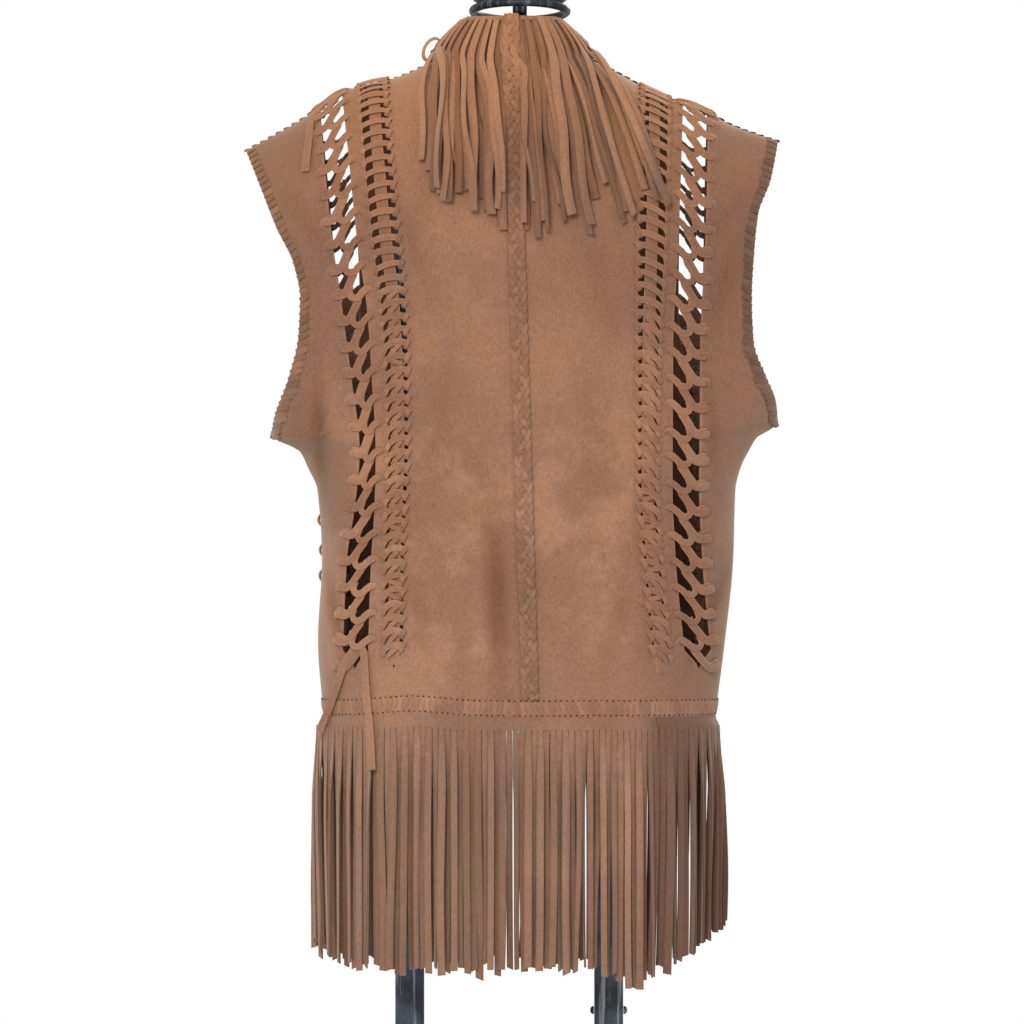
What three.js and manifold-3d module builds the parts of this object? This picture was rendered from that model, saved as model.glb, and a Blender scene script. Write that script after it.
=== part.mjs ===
// A fringed suede vest with laced openings, resting on a plain iron stand.
// Millimetres, +Z up. The front of the vest faces -Y and its back +Y, so the wearer's
// right side is at +X. The origin is on the floor, under the middle of the stand.

import * as THREE from 'three';
import Module from 'manifold-3d';
import { mergeVertices } from 'three/addons/utils/BufferGeometryUtils.js';

const wasm = await Module();
wasm.setup();

// ---- driving dimensions ----

const suede = 1.6;            // thickness of the cut suede
const seam = 0.3;             // gap between neighbouring pieces
const panelFoot = 562.7;      // height of the lower edge of the panels
const bandFoot = 546.8;       // lower edge of the hem band
const fringeRoot = 535.3;     // where the slits of the hem fringe start
const roundness = 2.4;        // exponent of the body's section: 2 is an ellipse
const shoulderRound = 95;     // radius over which front and back turn into the shoulder
const neckHalf = 65;          // half width of the neck hole at the shoulder seam
const neckDip = 12;           // how far the back neckline dips below that point
const neckHeight = 1138;      // height of the neck point on the shoulder seam
const frontGap = 9;           // half of the gap between the two fronts
const neckPoint = 1000;       // height where the front edges start to part in a V
const braidHalf = 7;          // half width of the centre back braid
const laceWidth = 7.2;        // width of the flat suede lace
const laceThick = 1.8;
const stitchRepeats = 24;     // lace repeats of each wide opening of the back
const frontRepeats = 15;      // and of each wide opening of the front

const suedeMaterial = new THREE.MeshStandardMaterial({ color: 0xa5785c, roughness: 0.95 });
const laceMaterial = new THREE.MeshStandardMaterial({ color: 0xa8754f, roughness: 0.92 });
const fringeMaterial = new THREE.MeshStandardMaterial({ color: 0x96735f, roughness: 0.95 });
const ironMaterial = new THREE.MeshStandardMaterial({
  color: 0x23262b, roughness: 0.45, metalness: 0.8,
});

// ---- tables of sizes: a row for each height ----

/** Names the columns of a short table of numbers. */
function table(columns, rows) {
  return rows.map((row) => Object.fromEntries(columns.map((name, i) => [name, row[i]])));
}

// Half widths to the +X and -X side, depth behind and depth in front of the side seams.
const body = table(['height', 'plus', 'minus', 'back', 'front'], [
  [300, 176, 187, 100, 98],
  [535, 176, 187, 106, 104],
  [547, 169, 183, 107, 105],
  [562, 171, 185, 108, 106],
  [614, 174.6, 191.7, 108, 108],
  [686, 171, 199, 106, 108],
  [749, 175, 201, 109, 113],
  [770, 184, 206, 110, 114],
  [784, 191, 213, 110, 114],
  [797, 216, 221, 110, 114],
  [807.5, 218, 238.5, 110, 114],
  [850, 222, 242, 110, 112],
  [920, 226, 243, 106, 108],
  [1000, 236, 245, 98, 98],
  [1060, 246, 249, 86, 86],
  [1170, 250, 252, 80, 80],
]);

// Height of the shoulder line over each place across the body.
const shoulder = table(['across', 'height'], [
  [-245, 1061], [-196, 1078], [-169, 1093], [-133, 1104], [-97, 1123], [-65, 1139],
  [0, 1166], [65, 1137], [101, 1121], [150, 1108], [191, 1081], [245, 1051],
]);

// Edge of each armhole, from the underarm up to the shoulder tip.
const armholePlus = table(['height', 'across'], [
  [797, 216], [812, 213.3], [848, 199.8], [884, 190.8], [920, 189], [951.5, 195.3],
  [983, 210.6], [1019, 225], [1055, 239.4],
]);
const armholeMinus = table(['height', 'across'], [
  [807.5, 238.5], [825.5, 236.7], [848, 227.7], [879.5, 216], [920, 214.2], [956, 216],
  [996.5, 220.5], [1028, 232.2], [1064, 239.4],
]);

// Laced seams of the back: the narrow band and the wide opening, with their half widths.
const lacingColumns = ['height', 'narrow', 'band', 'wide', 'open'];
const lacingPlus = table(lacingColumns, [
  [596, 105.3, 10, 140.4, 11.5],
  [686, 104.4, 10, 137, 11],
  [731, 103, 10, 132, 9],
  [785, 101, 10, 128.7, 7],
  [848, 102, 10.5, 134, 9],
  [920, 106, 11, 141.5, 11],
  [965, 111.5, 12, 148.5, 11],
  [1041, 119, 12, 156.5, 11],
  [1130, 126, 12, 166, 10],
]);
const lacingMinus = table(lacingColumns, [
  [596, 133, 10, 167.4, 12],
  [686, 125, 10.5, 158.4, 12],
  [758, 120.6, 10.5, 155.3, 12],
  [875, 121.5, 11, 155.7, 12],
  [965, 124.2, 12, 160.2, 12],
  [1130, 129, 12, 166, 11],
]);

// Wide laced openings of the two fronts.
const frontLacing = table(['height', 'plus', 'minus'], [
  [596, 152, 168],
  [731, 154, 172],
  [785, 158, 172],
  [920, 150, 163],
  [1130, 166, 166],
]);
const frontOpen = 11;

// Soft folds: place, half width, half length, lean across per height, depth outwards.
const foldColumns = ['across', 'height', 'halfWide', 'halfLong', 'lean', 'depth'];
const backFolds = table(foldColumns, [
  [172, 820, 15, 80, 0.0, -6],
  [163, 722, 13, 60, 0.42, 5],
  [-186, 700, 13, 60, -0.38, 5],
  [-196, 830, 18, 70, 0.1, -5],
  [58, 700, 34, 130, 0.05, -4],
  [-62, 660, 30, 120, -0.05, -3.5],
  [20, 620, 26, 70, 0.0, 3],
  [-20, 900, 40, 90, 0.0, 2.5],
]);
const frontFolds = table(foldColumns, [
  [120, 840, 22, 100, 0.25, -7],
  [-124, 850, 22, 100, -0.25, -7],
  [70, 690, 24, 110, 0.1, 6],
  [-74, 680, 24, 110, -0.08, 6],
]);

/** A smooth curve through one column of a table, with no overshoot between its rows. */
function curve(rows, column, key = 'height') {
  const at = rows.map((row) => row[key]);
  const value = rows.map((row) => row[column]);
  const last = at.length - 1;
  const secant = at.slice(1).map((v, i) => (value[i + 1] - value[i]) / (v - at[i]));
  const slope = at.map((_, i) => {
    if (i === 0) return secant[0];
    if (i === last) return secant[last - 1];
    const product = secant[i - 1] * secant[i];
    return product <= 0 ? 0 : (2 * product) / (secant[i - 1] + secant[i]);
  });
  return (where) => {
    const v = Math.min(Math.max(where, at[0]), at[last]);
    let i = 0;
    while (i < last - 1 && v > at[i + 1]) i += 1;
    const step = at[i + 1] - at[i];
    const t = (v - at[i]) / step;
    const rise = t * t * (3 - 2 * t);
    return value[i] * (1 - rise) + value[i + 1] * rise
      + step * t * (1 - t) * (slope[i] * (1 - t) - slope[i + 1] * t);
  };
}

const bodyCurve = {
  plus: curve(body, 'plus'),
  minus: curve(body, 'minus'),
  back: curve(body, 'back'),
  front: curve(body, 'front'),
};
const shoulderLine = curve(shoulder, 'height', 'across');

/** Half width of the body on the side of x at height z. */
function halfWidth(x, z) {
  return x >= 0 ? bodyCurve.plus(z) : bodyCurve.minus(z);
}

// ---- the shape of the worn cloth ----

const quarterTurn = (shoulderRound * Math.PI) / 2;

/** Drop below the shoulder line after a run along the cloth, and the run for a drop. */
function dropOf(run) {
  const angle = Math.min(run / shoulderRound, Math.PI / 2);
  return shoulderRound * (1 - Math.cos(angle)) + Math.max(run - quarterTurn, 0);
}
function runOf(drop) {
  if (drop >= shoulderRound) return drop - shoulderRound + quarterTurn;
  return shoulderRound * Math.acos(1 - drop / shoulderRound);
}

/** Square of the distance from the side seams' plane to the cloth at x, z. */
function squaredDepth(face, x, z) {
  const depth = face > 0 ? bodyCurve.back(z) : bodyCurve.front(z);
  const inside = 1 - (Math.abs(x) / halfWidth(x, z)) ** roundness;
  const section = Math.sign(inside) * Math.abs(inside) ** (2 / roundness);
  const below = Math.min(shoulderLine(x) - z, shoulderRound);
  const turn = 1 - (1 - below / shoulderRound) ** 2;
  return depth * depth * section * turn;
}

/** Height of the folds over the plain surface. */
function foldHeight(face, x, z) {
  const folds = face > 0 ? backFolds : frontFolds;
  return folds.reduce((sum, fold) => {
    const v = z - fold.height;
    const u = x - fold.across - fold.lean * v;
    return sum + fold.depth * Math.exp(-((u / fold.halfWide) ** 2) - (v / fold.halfLong) ** 2);
  }, 0);
}

/** Point of the cloth at x, z on the back (face 1) or front (face -1), moved out by lift. */
function clothPoint(face, x, z, lift = 0) {
  const step = 0.02;
  const depth = Math.sqrt(Math.max(squaredDepth(face, x, z), 0));
  const normal = new THREE.Vector3(
    (squaredDepth(face, x - step, z) - squaredDepth(face, x + step, z)) / (2 * step),
    2 * depth * face,
    (squaredDepth(face, x, z - step) - squaredDepth(face, x, z + step)) / (2 * step),
  ).normalize();
  const folded = depth + (foldHeight(face, x, z) * depth) / 100;
  return new THREE.Vector3(x, face * (folded + seam / 2), z).addScaledVector(normal, lift);
}

// ---- closed meshes ----

/** Makes a closed geometry from points and four-cornered faces, turned outwards. */
function closedGeometry(points, quads) {
  const index = quads.flatMap(([a, b, c, d]) => [a, b, c, a, c, d]);
  let volume = 0;
  for (let i = 0; i < index.length; i += 3) {
    const [a, b, c] = [points[index[i]], points[index[i + 1]], points[index[i + 2]]];
    volume += a.dot(new THREE.Vector3().crossVectors(b, c));
  }
  if (volume < 0) index.reverse();
  const geometry = new THREE.BufferGeometry();
  geometry.setAttribute('position',
    new THREE.Float32BufferAttribute(points.flatMap((p) => [p.x, p.y, p.z]), 3));
  geometry.setIndex(index);
  return geometry;
}

/**
 * A wall of cloth over a grid: place(i, j, lift) gives its points, lift moves them out.
 * Cells for which filled is false are cut through.
 */
function clothWall(columns, rows, place, thick = suede, raise = 0, filled = () => true) {
  const points = [];
  const spot = (i, j, inner) => 2 * (i * (rows + 1) + j) + (inner ? 1 : 0);
  for (let i = 0; i <= columns; i += 1) {
    for (let j = 0; j <= rows; j += 1) {
      points.push(place(i, j, raise), place(i, j, raise - thick));
    }
  }
  const present = (i, j) => i >= 0 && j >= 0 && i < columns && j < rows && filled(i, j);
  const quads = [];
  for (let i = 0; i < columns; i += 1) {
    for (let j = 0; j < rows; j += 1) {
      if (!present(i, j)) continue;
      const corners = [[i, j], [i + 1, j], [i + 1, j + 1], [i, j + 1]];
      const outer = corners.map(([a, b]) => spot(a, b, false));
      const inner = corners.map(([a, b]) => spot(a, b, true));
      quads.push(outer, [...inner].reverse());
      const beside = [present(i, j - 1), present(i + 1, j), present(i, j + 1), present(i - 1, j)];
      beside.forEach((covered, k) => {
        const next = (k + 1) % 4;
        if (!covered) quads.push([outer[next], outer[k], inner[k], inner[next]]);
      });
    }
  }
  return closedGeometry(points, quads);
}

/**
 * Fringe: a narrow backing strip whose lower edge runs on as separate four-sided strands.
 * strip(u, down, lift) gives points of the backing; strand(k, u) gives the path of each
 * strand below it, as steps of { at, side, out, half }.
 */
function fringe(count, strip, strand, clearance = 0.14) {
  const points = [];
  const quads = [];
  const edges = [];
  for (let k = 0; k < count; k += 1) {
    edges.push((k + clearance) / count, (k + 1 - clearance) / count);
  }
  edges.forEach((u) => {
    points.push(strip(u, 0, 0), strip(u, 1, 0), strip(u, 0, -suede), strip(u, 1, -suede));
  });
  const corner = (i) => ({ ot: 4 * i, ob: 4 * i + 1, it: 4 * i + 2, ib: 4 * i + 3 });
  for (let i = 0; i < edges.length - 1; i += 1) {
    const [a, b] = [corner(i), corner(i + 1)];
    quads.push([a.ot, a.ob, b.ob, b.ot], [a.it, b.it, b.ib, a.ib], [a.ot, b.ot, b.it, a.it]);
    if (i % 2 === 1) {
      quads.push([a.ob, a.ib, b.ib, b.ob]);
      continue;
    }
    const k = i / 2;
    let ring = [a.ob, b.ob, b.ib, a.ib];
    strand(k, (k + 0.5) / count).forEach((step) => {
      const next = ring.map((_, m) => points.length + m);
      const across = step.side.clone().multiplyScalar(step.half);
      const through = step.out.clone().multiplyScalar(suede / 2);
      points.push(
        step.at.clone().sub(across).add(through),
        step.at.clone().add(across).add(through),
        step.at.clone().add(across).sub(through),
        step.at.clone().sub(across).sub(through),
      );
      ring.forEach((_, m) => {
        const n = (m + 1) % 4;
        quads.push([ring[m], next[m], next[n], ring[n]]);
      });
      ring = next;
    });
    quads.push([ring[0], ring[3], ring[2], ring[1]]);
  }
  const [first, end] = [corner(0), corner(edges.length - 1)];
  quads.push([first.ot, first.it, first.ib, first.ob], [end.ot, end.ob, end.ib, end.it]);
  return closedGeometry(points, quads);
}

/** A flat lace along a path of cloth points, closed at both ends. */
function laceEnd(face, stops, steps) {
  const across = curve(stops, 'across', 'step');
  const height = curve(stops, 'height', 'step');
  const lift = curve(stops, 'lift', 'step');
  const centre = (t) => clothPoint(face, across(t), height(t), lift(t));
  return clothWall(1, steps, (i, j, out) => {
    const t = (j / steps) * (stops.length - 1);
    const ahead = centre(t + 0.01).sub(centre(t - 0.01)).normalize();
    const normal = clothPoint(face, across(t), height(t), 1)
      .sub(clothPoint(face, across(t), height(t), 0)).normalize();
    const side = new THREE.Vector3().crossVectors(ahead, normal).normalize();
    return centre(t).addScaledVector(side, (i - 0.5) * laceWidth).addScaledVector(normal, out);
  }, laceThick);
}

/** A repeatable scatter from -1 to 1 for the k-th strand. */
function scatter(k, salt = 0) {
  const v = Math.sin(k * 12.9898 + salt * 78.233) * 43758.5453;
  return 2 * (v - Math.floor(v)) - 1;
}

// ---- the garment ----

const vest = new THREE.Group();

function addPiece(name, geometry, material) {
  const mesh = new THREE.Mesh(geometry, material.clone());
  mesh.name = name;
  vest.add(mesh);
  return mesh;
}

// Rows of every panel: fixed heights below the arms, then towards the shoulder's turn.
const levels = [panelFoot, 588, 594, 606, 665, 727, 770, 784, 797, 807.5];
const chestRows = 4;
const turnRows = 4;
const panelRows = levels.length - 1 + chestRows + turnRows;

/** Height of row j over x; top is where the panel ends over x. */
function rowHeight(j, x, top) {
  if (j < levels.length) return levels[j];
  const ridge = shoulderLine(x);
  const turnFoot = ridge - shoulderRound;
  const armLevel = levels[levels.length - 1];
  const chest = j - (levels.length - 1);
  if (chest <= chestRows) return armLevel + ((turnFoot - armLevel) * chest) / chestRows;
  const first = Math.acos(1 - (ridge - top) / shoulderRound);
  const t = (chest - chestRows) / turnRows;
  const angle = Math.PI / 2 + (first - Math.PI / 2) * t;
  return ridge - shoulderRound * (1 - Math.cos(angle));
}

/** Height where the cloth ends at the top: the shoulder seam, or the neckline of the back. */
function topHeight(face, x) {
  const reach = Math.abs(x) / neckHalf;
  if (face < 0 || reach >= 1) return shoulderLine(x);
  return Math.min(neckHeight - neckDip * (1 - reach * reach), shoulderLine(x));
}

/** Angle round the body's section of a place x at height z, and the way back. */
function sectionAngle(x, z) {
  const share = Math.min(Math.abs(x) / halfWidth(x, z), 1);
  return Math.sign(x) * Math.asin(share ** (roundness / 2));
}
function sectionPlace(angle, z) {
  return Math.sign(angle) * halfWidth(angle, z) * Math.abs(Math.sin(angle)) ** (2 / roundness);
}

/** Places a grid column and row between two edges that are given by height. */
function panelPoint(face, near, far, share, j, lift) {
  let x = near(900) + (far(900) - near(900)) * share;
  let z = 900;
  for (let round = 0; round < 14; round += 1) {
    z = rowHeight(j, x, topHeight(face, x));
    const from = sectionAngle(near(z), z);
    const to = sectionAngle(far(z), z);
    x = sectionPlace(from + (to - from) * share, z);
  }
  return clothPoint(face, x, z, lift);
}

function addPanel(name, face, near, far, shares) {
  const place = (i, j, lift) => panelPoint(face, near, far, shares[i], j, lift);
  addPiece(name, clothWall(shares.length - 1, panelRows, place), suedeMaterial);
}

/** The slit of a laced seam is shut at its foot and opens to its full half width. */
function opened(half, z) {
  const [shut, start, full] = [levels[1], levels[2], levels[3]];
  const nearlyShut = 2;
  if (z <= shut) return 0;
  if (z <= start) return (nearlyShut * (z - shut)) / (start - shut);
  if (z <= full) return nearlyShut + ((half - nearlyShut) * (z - start)) / (full - start);
  return half;
}

/** Centre back seam: it leans a little, straight from hem to neck. */
function centreSeam(z) {
  return -16 + ((z - panelFoot) * 17) / (neckHeight - panelFoot);
}

const sides = [
  { name: 'right', sign: 1, lacing: lacingPlus, armhole: armholePlus, front: 'plus', underarm: 797 },
  { name: 'left', sign: -1, lacing: lacingMinus, armhole: armholeMinus, front: 'minus', underarm: 807.5 },
];

const laceGap = 1.4;   // the lacing's rails stay this far inside the edges of its opening
const latticeColumns = 5;
// Share of the opening's width at the foot and at the head of each crossbar.
const crossbarFoot = [0, 0.15, 0.30, 0.58, 0.87, 1];
const crossbarHead = [0, 0.15, 0.52, 0.80, 0.87, 1];
const crossbarShare = 0.46;

/** Lacing over an opening: crossbars joined by slanted straps, with two gaps a repeat. */
function addLacing(name, face, sign, middle, half, repeats) {
  const rows = 2 * repeats;
  const footHeight = levels[3];
  const place = (i, j, lift) => {
    const bar = Math.floor(j / 2);
    const atHead = j % 2 === 1;
    const share = (atHead ? crossbarHead : crossbarFoot)[i];
    const drop = 1 - (bar + (atHead ? crossbarShare : 0)) / (repeats - 1 + crossbarShare);
    let x = middle(900);
    let z = 900;
    for (let round = 0; round < 8; round += 1) {
      const ridge = shoulderLine(sign * x);
      z = ridge - dropOf(Math.max(drop, 0) * runOf(ridge - footHeight));
      x = middle(z) + (2 * share - 1) * (half(z) - laceGap);
    }
    return clothPoint(face, sign * x, z, lift);
  };
  const filled = (i, j) => j % 2 === 0 || (i !== 1 && i !== 3);
  const geometry = clothWall(latticeColumns, rows - 1, place, laceThick, 0, filled);
  addPiece(name, geometry, laceMaterial);
}

for (const side of sides) {
  const { sign, name } = side;
  const narrow = curve(side.lacing, 'narrow');
  const band = curve(side.lacing, 'band');
  const wide = curve(side.lacing, 'wide');
  const open = curve(side.lacing, 'open');
  const arm = curve(side.armhole, 'across');
  const frontWide = curve(frontLacing, side.front);
  const outer = (z) => sign * (z <= side.underarm ? halfWidth(sign, z) : arm(z));
  const gap = seam / 2;
  const edge = (middle, half, way) => (z) => sign * (middle(z) + way * (opened(half(z), z) + gap));

  addPanel(`back_centre_${name}`, 1,
    (z) => centreSeam(z) + sign * gap, edge(narrow, band, -1), [0, 0.28, 0.56, 0.78, 1]);
  addPanel(`back_strip_${name}`, 1, edge(narrow, band, 1), edge(wide, open, -1), [0, 1]);
  addPanel(`back_side_${name}`, 1, edge(wide, open, 1), outer, [0, 0.3, 0.6, 0.82, 1]);

  const bandPlace = (i, j, lift) => {
    const half = (z) => opened(band(z), z) - gap;
    const near = (z) => sign * (narrow(z) - half(z));
    const far = (z) => sign * (narrow(z) + half(z));
    const ridge = i === 1 || i === 2 ? 1.2 : 0;
    return panelPoint(1, near, far, [0, 0.3, 0.7, 1][i], j + 2, lift > -1 ? lift + ridge : lift);
  };
  addPiece(`back_narrow_band_${name}`, clothWall(3, panelRows - 2, bandPlace), laceMaterial);
  addLacing(`back_lacing_${name}`, 1, sign, wide, open, stitchRepeats);

  const frontEdge = (z) => {
    const flare = Math.max(z - neckPoint, 0) / (neckHeight - neckPoint);
    return sign * (frontGap + flare * (neckHalf - frontGap));
  };
  const openHalf = () => frontOpen;
  addPanel(`front_inner_${name}`, -1, frontEdge, edge(frontWide, openHalf, -1), [0, 0.35, 0.7, 1]);
  addPanel(`front_side_${name}`, -1, edge(frontWide, openHalf, 1), outer, [0, 0.33, 0.66, 1]);
  addLacing(`front_lacing_${name}`, -1, sign, frontWide, openHalf, frontRepeats);
}

// Centre back braid, lying on the seam of the two centre panels.
const braidLift = 0.5;
addPiece('back_centre_braid', clothWall(2, panelRows, (i, j, lift) => {
  const near = (z) => centreSeam(z) - braidHalf;
  const far = (z) => centreSeam(z) + braidHalf;
  const crown = i === 1 && lift > braidLift ? 0.5 : 0;
  return panelPoint(1, near, far, i / 2, j, lift + crown);
}, laceThick, braidLift + laceThick), laceMaterial);

// ---- hem ----

/** Point on the ring of the hem: turn runs from one side seam to the other, -1 to 1. */
function hemPoint(face, turn, z, lift) {
  const most = Math.PI / 2 - 0.0005;
  return clothPoint(face, sectionPlace(turn * most, z), z, lift);
}

/** Turns of the hem's section that lie at even distances along the cloth. */
function evenTurns(face, from, to) {
  const pieces = 200;
  const turns = Array.from({ length: pieces + 1 }, (_, i) => from + ((to - from) * i) / pieces);
  const run = [0];
  for (let i = 1; i <= pieces; i += 1) {
    const step = hemPoint(face, turns[i], fringeRoot, 0)
      .distanceTo(hemPoint(face, turns[i - 1], fringeRoot, 0));
    run.push(run[i - 1] + step);
  }
  return (share) => {
    const goal = Math.min(Math.max(share, 0), 1) * run[pieces];
    let i = 1;
    while (i < pieces && run[i] < goal) i += 1;
    const t = (goal - run[i - 1]) / (run[i] - run[i - 1]);
    return turns[i - 1] + (turns[i] - turns[i - 1]) * t;
  };
}

// Lowest ends of the hem fringe across the body.
const fringeEnds = table(['across', 'height'], [
  [-190, 368], [-178, 350], [-160, 334], [-132, 318], [-110, 308], [-60, 320], [0, 322],
  [90, 321], [150, 327], [170, 336], [180, 342],
]);
const fringeEnd = curve(fringeEnds, 'height', 'across');

function addHemFringe(name, face, from, to, count) {
  const turnAt = evenTurns(face, from, to);
  const stripTop = bandFoot - seam;
  const strip = (u, down, lift) => hemPoint(face, turnAt(u), down ? fringeRoot : stripTop, lift);
  const strand = (k, u) => {
    const turn = turnAt(u);
    const root = hemPoint(face, turn, fringeRoot, -suede / 2);
    const out = hemPoint(face, turn, fringeRoot, 1).sub(hemPoint(face, turn, fringeRoot, 0));
    out.setZ(0).normalize();
    const side = hemPoint(face, turnAt(u + 0.01), fringeRoot, 0)
      .sub(hemPoint(face, turnAt(u - 0.01), fringeRoot, 0)).setZ(0).normalize();
    const bottom = fringeEnd(root.x) + 6 * scatter(k, 3);
    const sway = 4 * scatter(k, 1);
    return [0.5, 1].map((t) => ({
      at: root.clone().setZ(fringeRoot + (bottom - fringeRoot) * t)
        .addScaledVector(out, sway * t).addScaledVector(side, 0.5 * scatter(k, 2) * t),
      side,
      out,
      half: 2.75,
    }));
  };
  addPiece(name, fringe(count, strip, strand), fringeMaterial);
}

function addHemBand(name, face, from, to, columns) {
  const turnAt = evenTurns(face, from, to);
  const place = (i, j, lift) => hemPoint(face, turnAt(i / columns),
    j ? panelFoot - seam : bandFoot, lift);
  addPiece(name, clothWall(columns, 1, place, suede + 0.6, 0.6), laceMaterial);
}

// The turn of the section where the fronts end beside the middle, and where the fringe of
// the back is pieced.
const frontStart = sectionAngle(frontGap, fringeRoot) / (Math.PI / 2);
const fringeJoin = sectionAngle(-131, fringeRoot) / (Math.PI / 2);
const joinGap = 0.0015;

addHemBand('hem_band_back', 1, -1, 1, 16);
addHemBand('hem_band_front_right', -1, frontStart, 1, 8);
addHemBand('hem_band_front_left', -1, -1, -frontStart, 8);
addHemFringe('hem_fringe_back', 1, fringeJoin + joinGap, 1, 48);
addHemFringe('hem_fringe_back_left', 1, -1, fringeJoin - joinGap, 12);
addHemFringe('hem_fringe_front_right', -1, frontStart, 1, 24);
addHemFringe('hem_fringe_front_left', -1, -1, -frontStart, 24);

// ---- collar ----

const collarTop = { half: 43, back: 46, height: 1173, frontDrop: 14 };
const collarGap = 1.3;        // height of the collar's foot over the neck seam
const collarReach = 1.15;    // turns of 90 degrees from the centre back to each end

/** Neck seam: turn 0 is the centre back, 1 and -1 the shoulder seams, beyond them the front. */
function neckSeam(turn) {
  const sign = Math.sign(turn) || 1;
  if (Math.abs(turn) <= 1) {
    const x = neckHalf * Math.sin((turn * Math.PI) / 2);
    return clothPoint(1, x, topHeight(1, x) - 0.01);
  }
  const z = shoulderLine(sign * neckHalf) - (Math.abs(turn) - 1) * 110;
  const flare = (z - neckPoint) / (neckHeight - neckPoint);
  return clothPoint(-1, sign * (frontGap + flare * (neckHalf - frontGap)), z);
}

/** Point of the collar: up runs from the neck seam to the collar's upper edge. */
function collarPoint(turn, up, lift) {
  const angle = (turn * Math.PI) / 2;
  const foot = neckSeam(turn).add(new THREE.Vector3(0, 0, collarGap));
  const drop = collarTop.frontDrop * Math.max(Math.abs(turn) - 0.6, 0);
  const top = new THREE.Vector3(collarTop.half * Math.sin(angle),
    6 + (collarTop.back - 6) * Math.cos(angle), collarTop.height - drop);
  const bulge = 3 * Math.sin(Math.PI * up);
  const out = new THREE.Vector3(Math.sin(angle), Math.cos(angle), 0.35).normalize();
  return foot.lerp(top, up).addScaledVector(out, bulge + lift);
}

const collarColumns = 16;
addPiece('collar', clothWall(collarColumns, 2, (i, j, lift) => (
  collarPoint(collarReach * ((2 * i) / collarColumns - 1), j / 2, lift)
)), suedeMaterial);

// Where the collar's strands end: turn at the collar, place and height on the cloth.
const collarEnds = table(['turn', 'across', 'height'], [
  [-0.93, -140, 1022], [-0.85, -134, 1010], [-0.6, -100, 988], [-0.3, -52, 985], [0, -14, 979],
  [0.2, 14, 994], [0.5, 42, 1010], [0.85, 74, 1015], [0.93, 80, 1018],
]);
const endAcross = curve(collarEnds, 'across', 'turn');
const endHeight = curve(collarEnds, 'height', 'turn');
const backTurn = 0.93;       // beyond this turn a strand falls over the front

function collarStrand(turn, k, lift) {
  const face = Math.abs(turn) > backTurn ? -1 : 1;
  const sign = Math.sign(turn);
  const across = face > 0 ? endAcross(turn) + 2 * scatter(k, 5) : sign * (150 - 75 * Math.abs(turn));
  const height = face > 0 ? endHeight(turn) + 8 * scatter(k, 6) : 1030;
  const angle = (turn * Math.PI) / 2;
  const away = new THREE.Vector3(Math.sin(angle), Math.cos(angle), 0);
  const foot = neckSeam(turn);
  const start = runOf(Math.max(shoulderLine(foot.x) - foot.z, 0));
  const end = runOf(shoulderLine(across) - height);
  const steps = [collarPoint(turn, 0, 0).addScaledVector(away, lift + 3).setZ(foot.z + lift)];
  const outs = [away];
  [0.2, 0.45, 0.7, 1].forEach((t) => {
    const x = foot.x + (across - foot.x) * t ** 0.9;
    const z = shoulderLine(x) - dropOf(start + (end - start) * t);
    const arch = 2.5 * Math.sin(Math.PI * t);
    steps.push(clothPoint(face, x, z, lift + arch));
    outs.push(clothPoint(face, x, z, 1).sub(clothPoint(face, x, z, 0)));
  });
  return steps.map((at, m) => {
    const ahead = steps[Math.min(m + 1, 4)].clone().sub(steps[Math.max(m - 1, 0)]);
    const side = new THREE.Vector3().crossVectors(ahead, outs[m]).normalize();
    return { at, side, out: outs[m].normalize(), half: m === 0 ? 2.6 : 3.3 };
  });
}

function addCollarFringe(name, count, clear, lift) {
  const turnAt = (u) => collarReach * (2 * u - 1);
  const strip = (u, down, out) => collarPoint(turnAt(u), down ? 0.66 : 0.96, clear + suede + out);
  const strand = (k, u) => collarStrand(turnAt(u), k, lift);
  addPiece(name, fringe(count, strip, strand), fringeMaterial);
}
addCollarFringe('collar_fringe_under', 22, 0.4, 5.8);
addCollarFringe('collar_fringe_over', 22, 3, 11);

// ---- loose lace ends ----

const laceColumns = ['step', 'across', 'height', 'lift'];
addPiece('lace_end_hanging', laceEnd(1, table(laceColumns, [
  [0, 131, 604, 2.5], [1, 129, 570, 3.4], [2, 125, 538, 5], [3, 121, 500, 8.5],
]), 6), laceMaterial);
addPiece('lace_end_slanted', laceEnd(1, table(laceColumns, [
  [0, 155, 601, 2.1], [1, 158, 577, 3.2], [2, 163, 552, 4.4], [3, 168, 533, 6],
]), 6), laceMaterial);
addPiece('lace_end_shoulder', laceEnd(1, table(laceColumns, [
  [0, 178, 1082, 2.3], [1, 180, 1060, 2.6], [2, 182, 1032, 3],
]), 4), laceMaterial);

// ---- iron stand ----

const bar = { radius: 8, clear: 1, reach: 110 };
const post = { wide: 26, deep: 14, plus: 92, minus: -87, corner: 3 };
const base = { wide: 380, deep: 280, thick: 10, corner: 26 };
const neck = { shift: -7, stem: 6.5, ring: 42, rod: 3.8, lower: 1180, upper: 1192, tilt: 0.14, top: 1212 };

function roundedShape(wide, deep, corner) {
  const shape = new THREE.Shape();
  const [x, y] = [wide / 2 - corner, deep / 2 - corner];
  shape.moveTo(x, -y - corner);
  shape.absarc(x, -y, corner, -Math.PI / 2, 0);
  shape.absarc(x, y, corner, 0, Math.PI / 2);
  shape.absarc(-x, y, corner, Math.PI / 2, Math.PI);
  shape.absarc(-x, -y, corner, Math.PI, 1.5 * Math.PI);
  return shape;
}

function plate(wide, deep, thick, corner, curveSegments = 4) {
  return new THREE.ExtrudeGeometry(roundedShape(wide, deep, corner), {
    depth: thick, bevelEnabled: false, curveSegments,
  });
}

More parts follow.
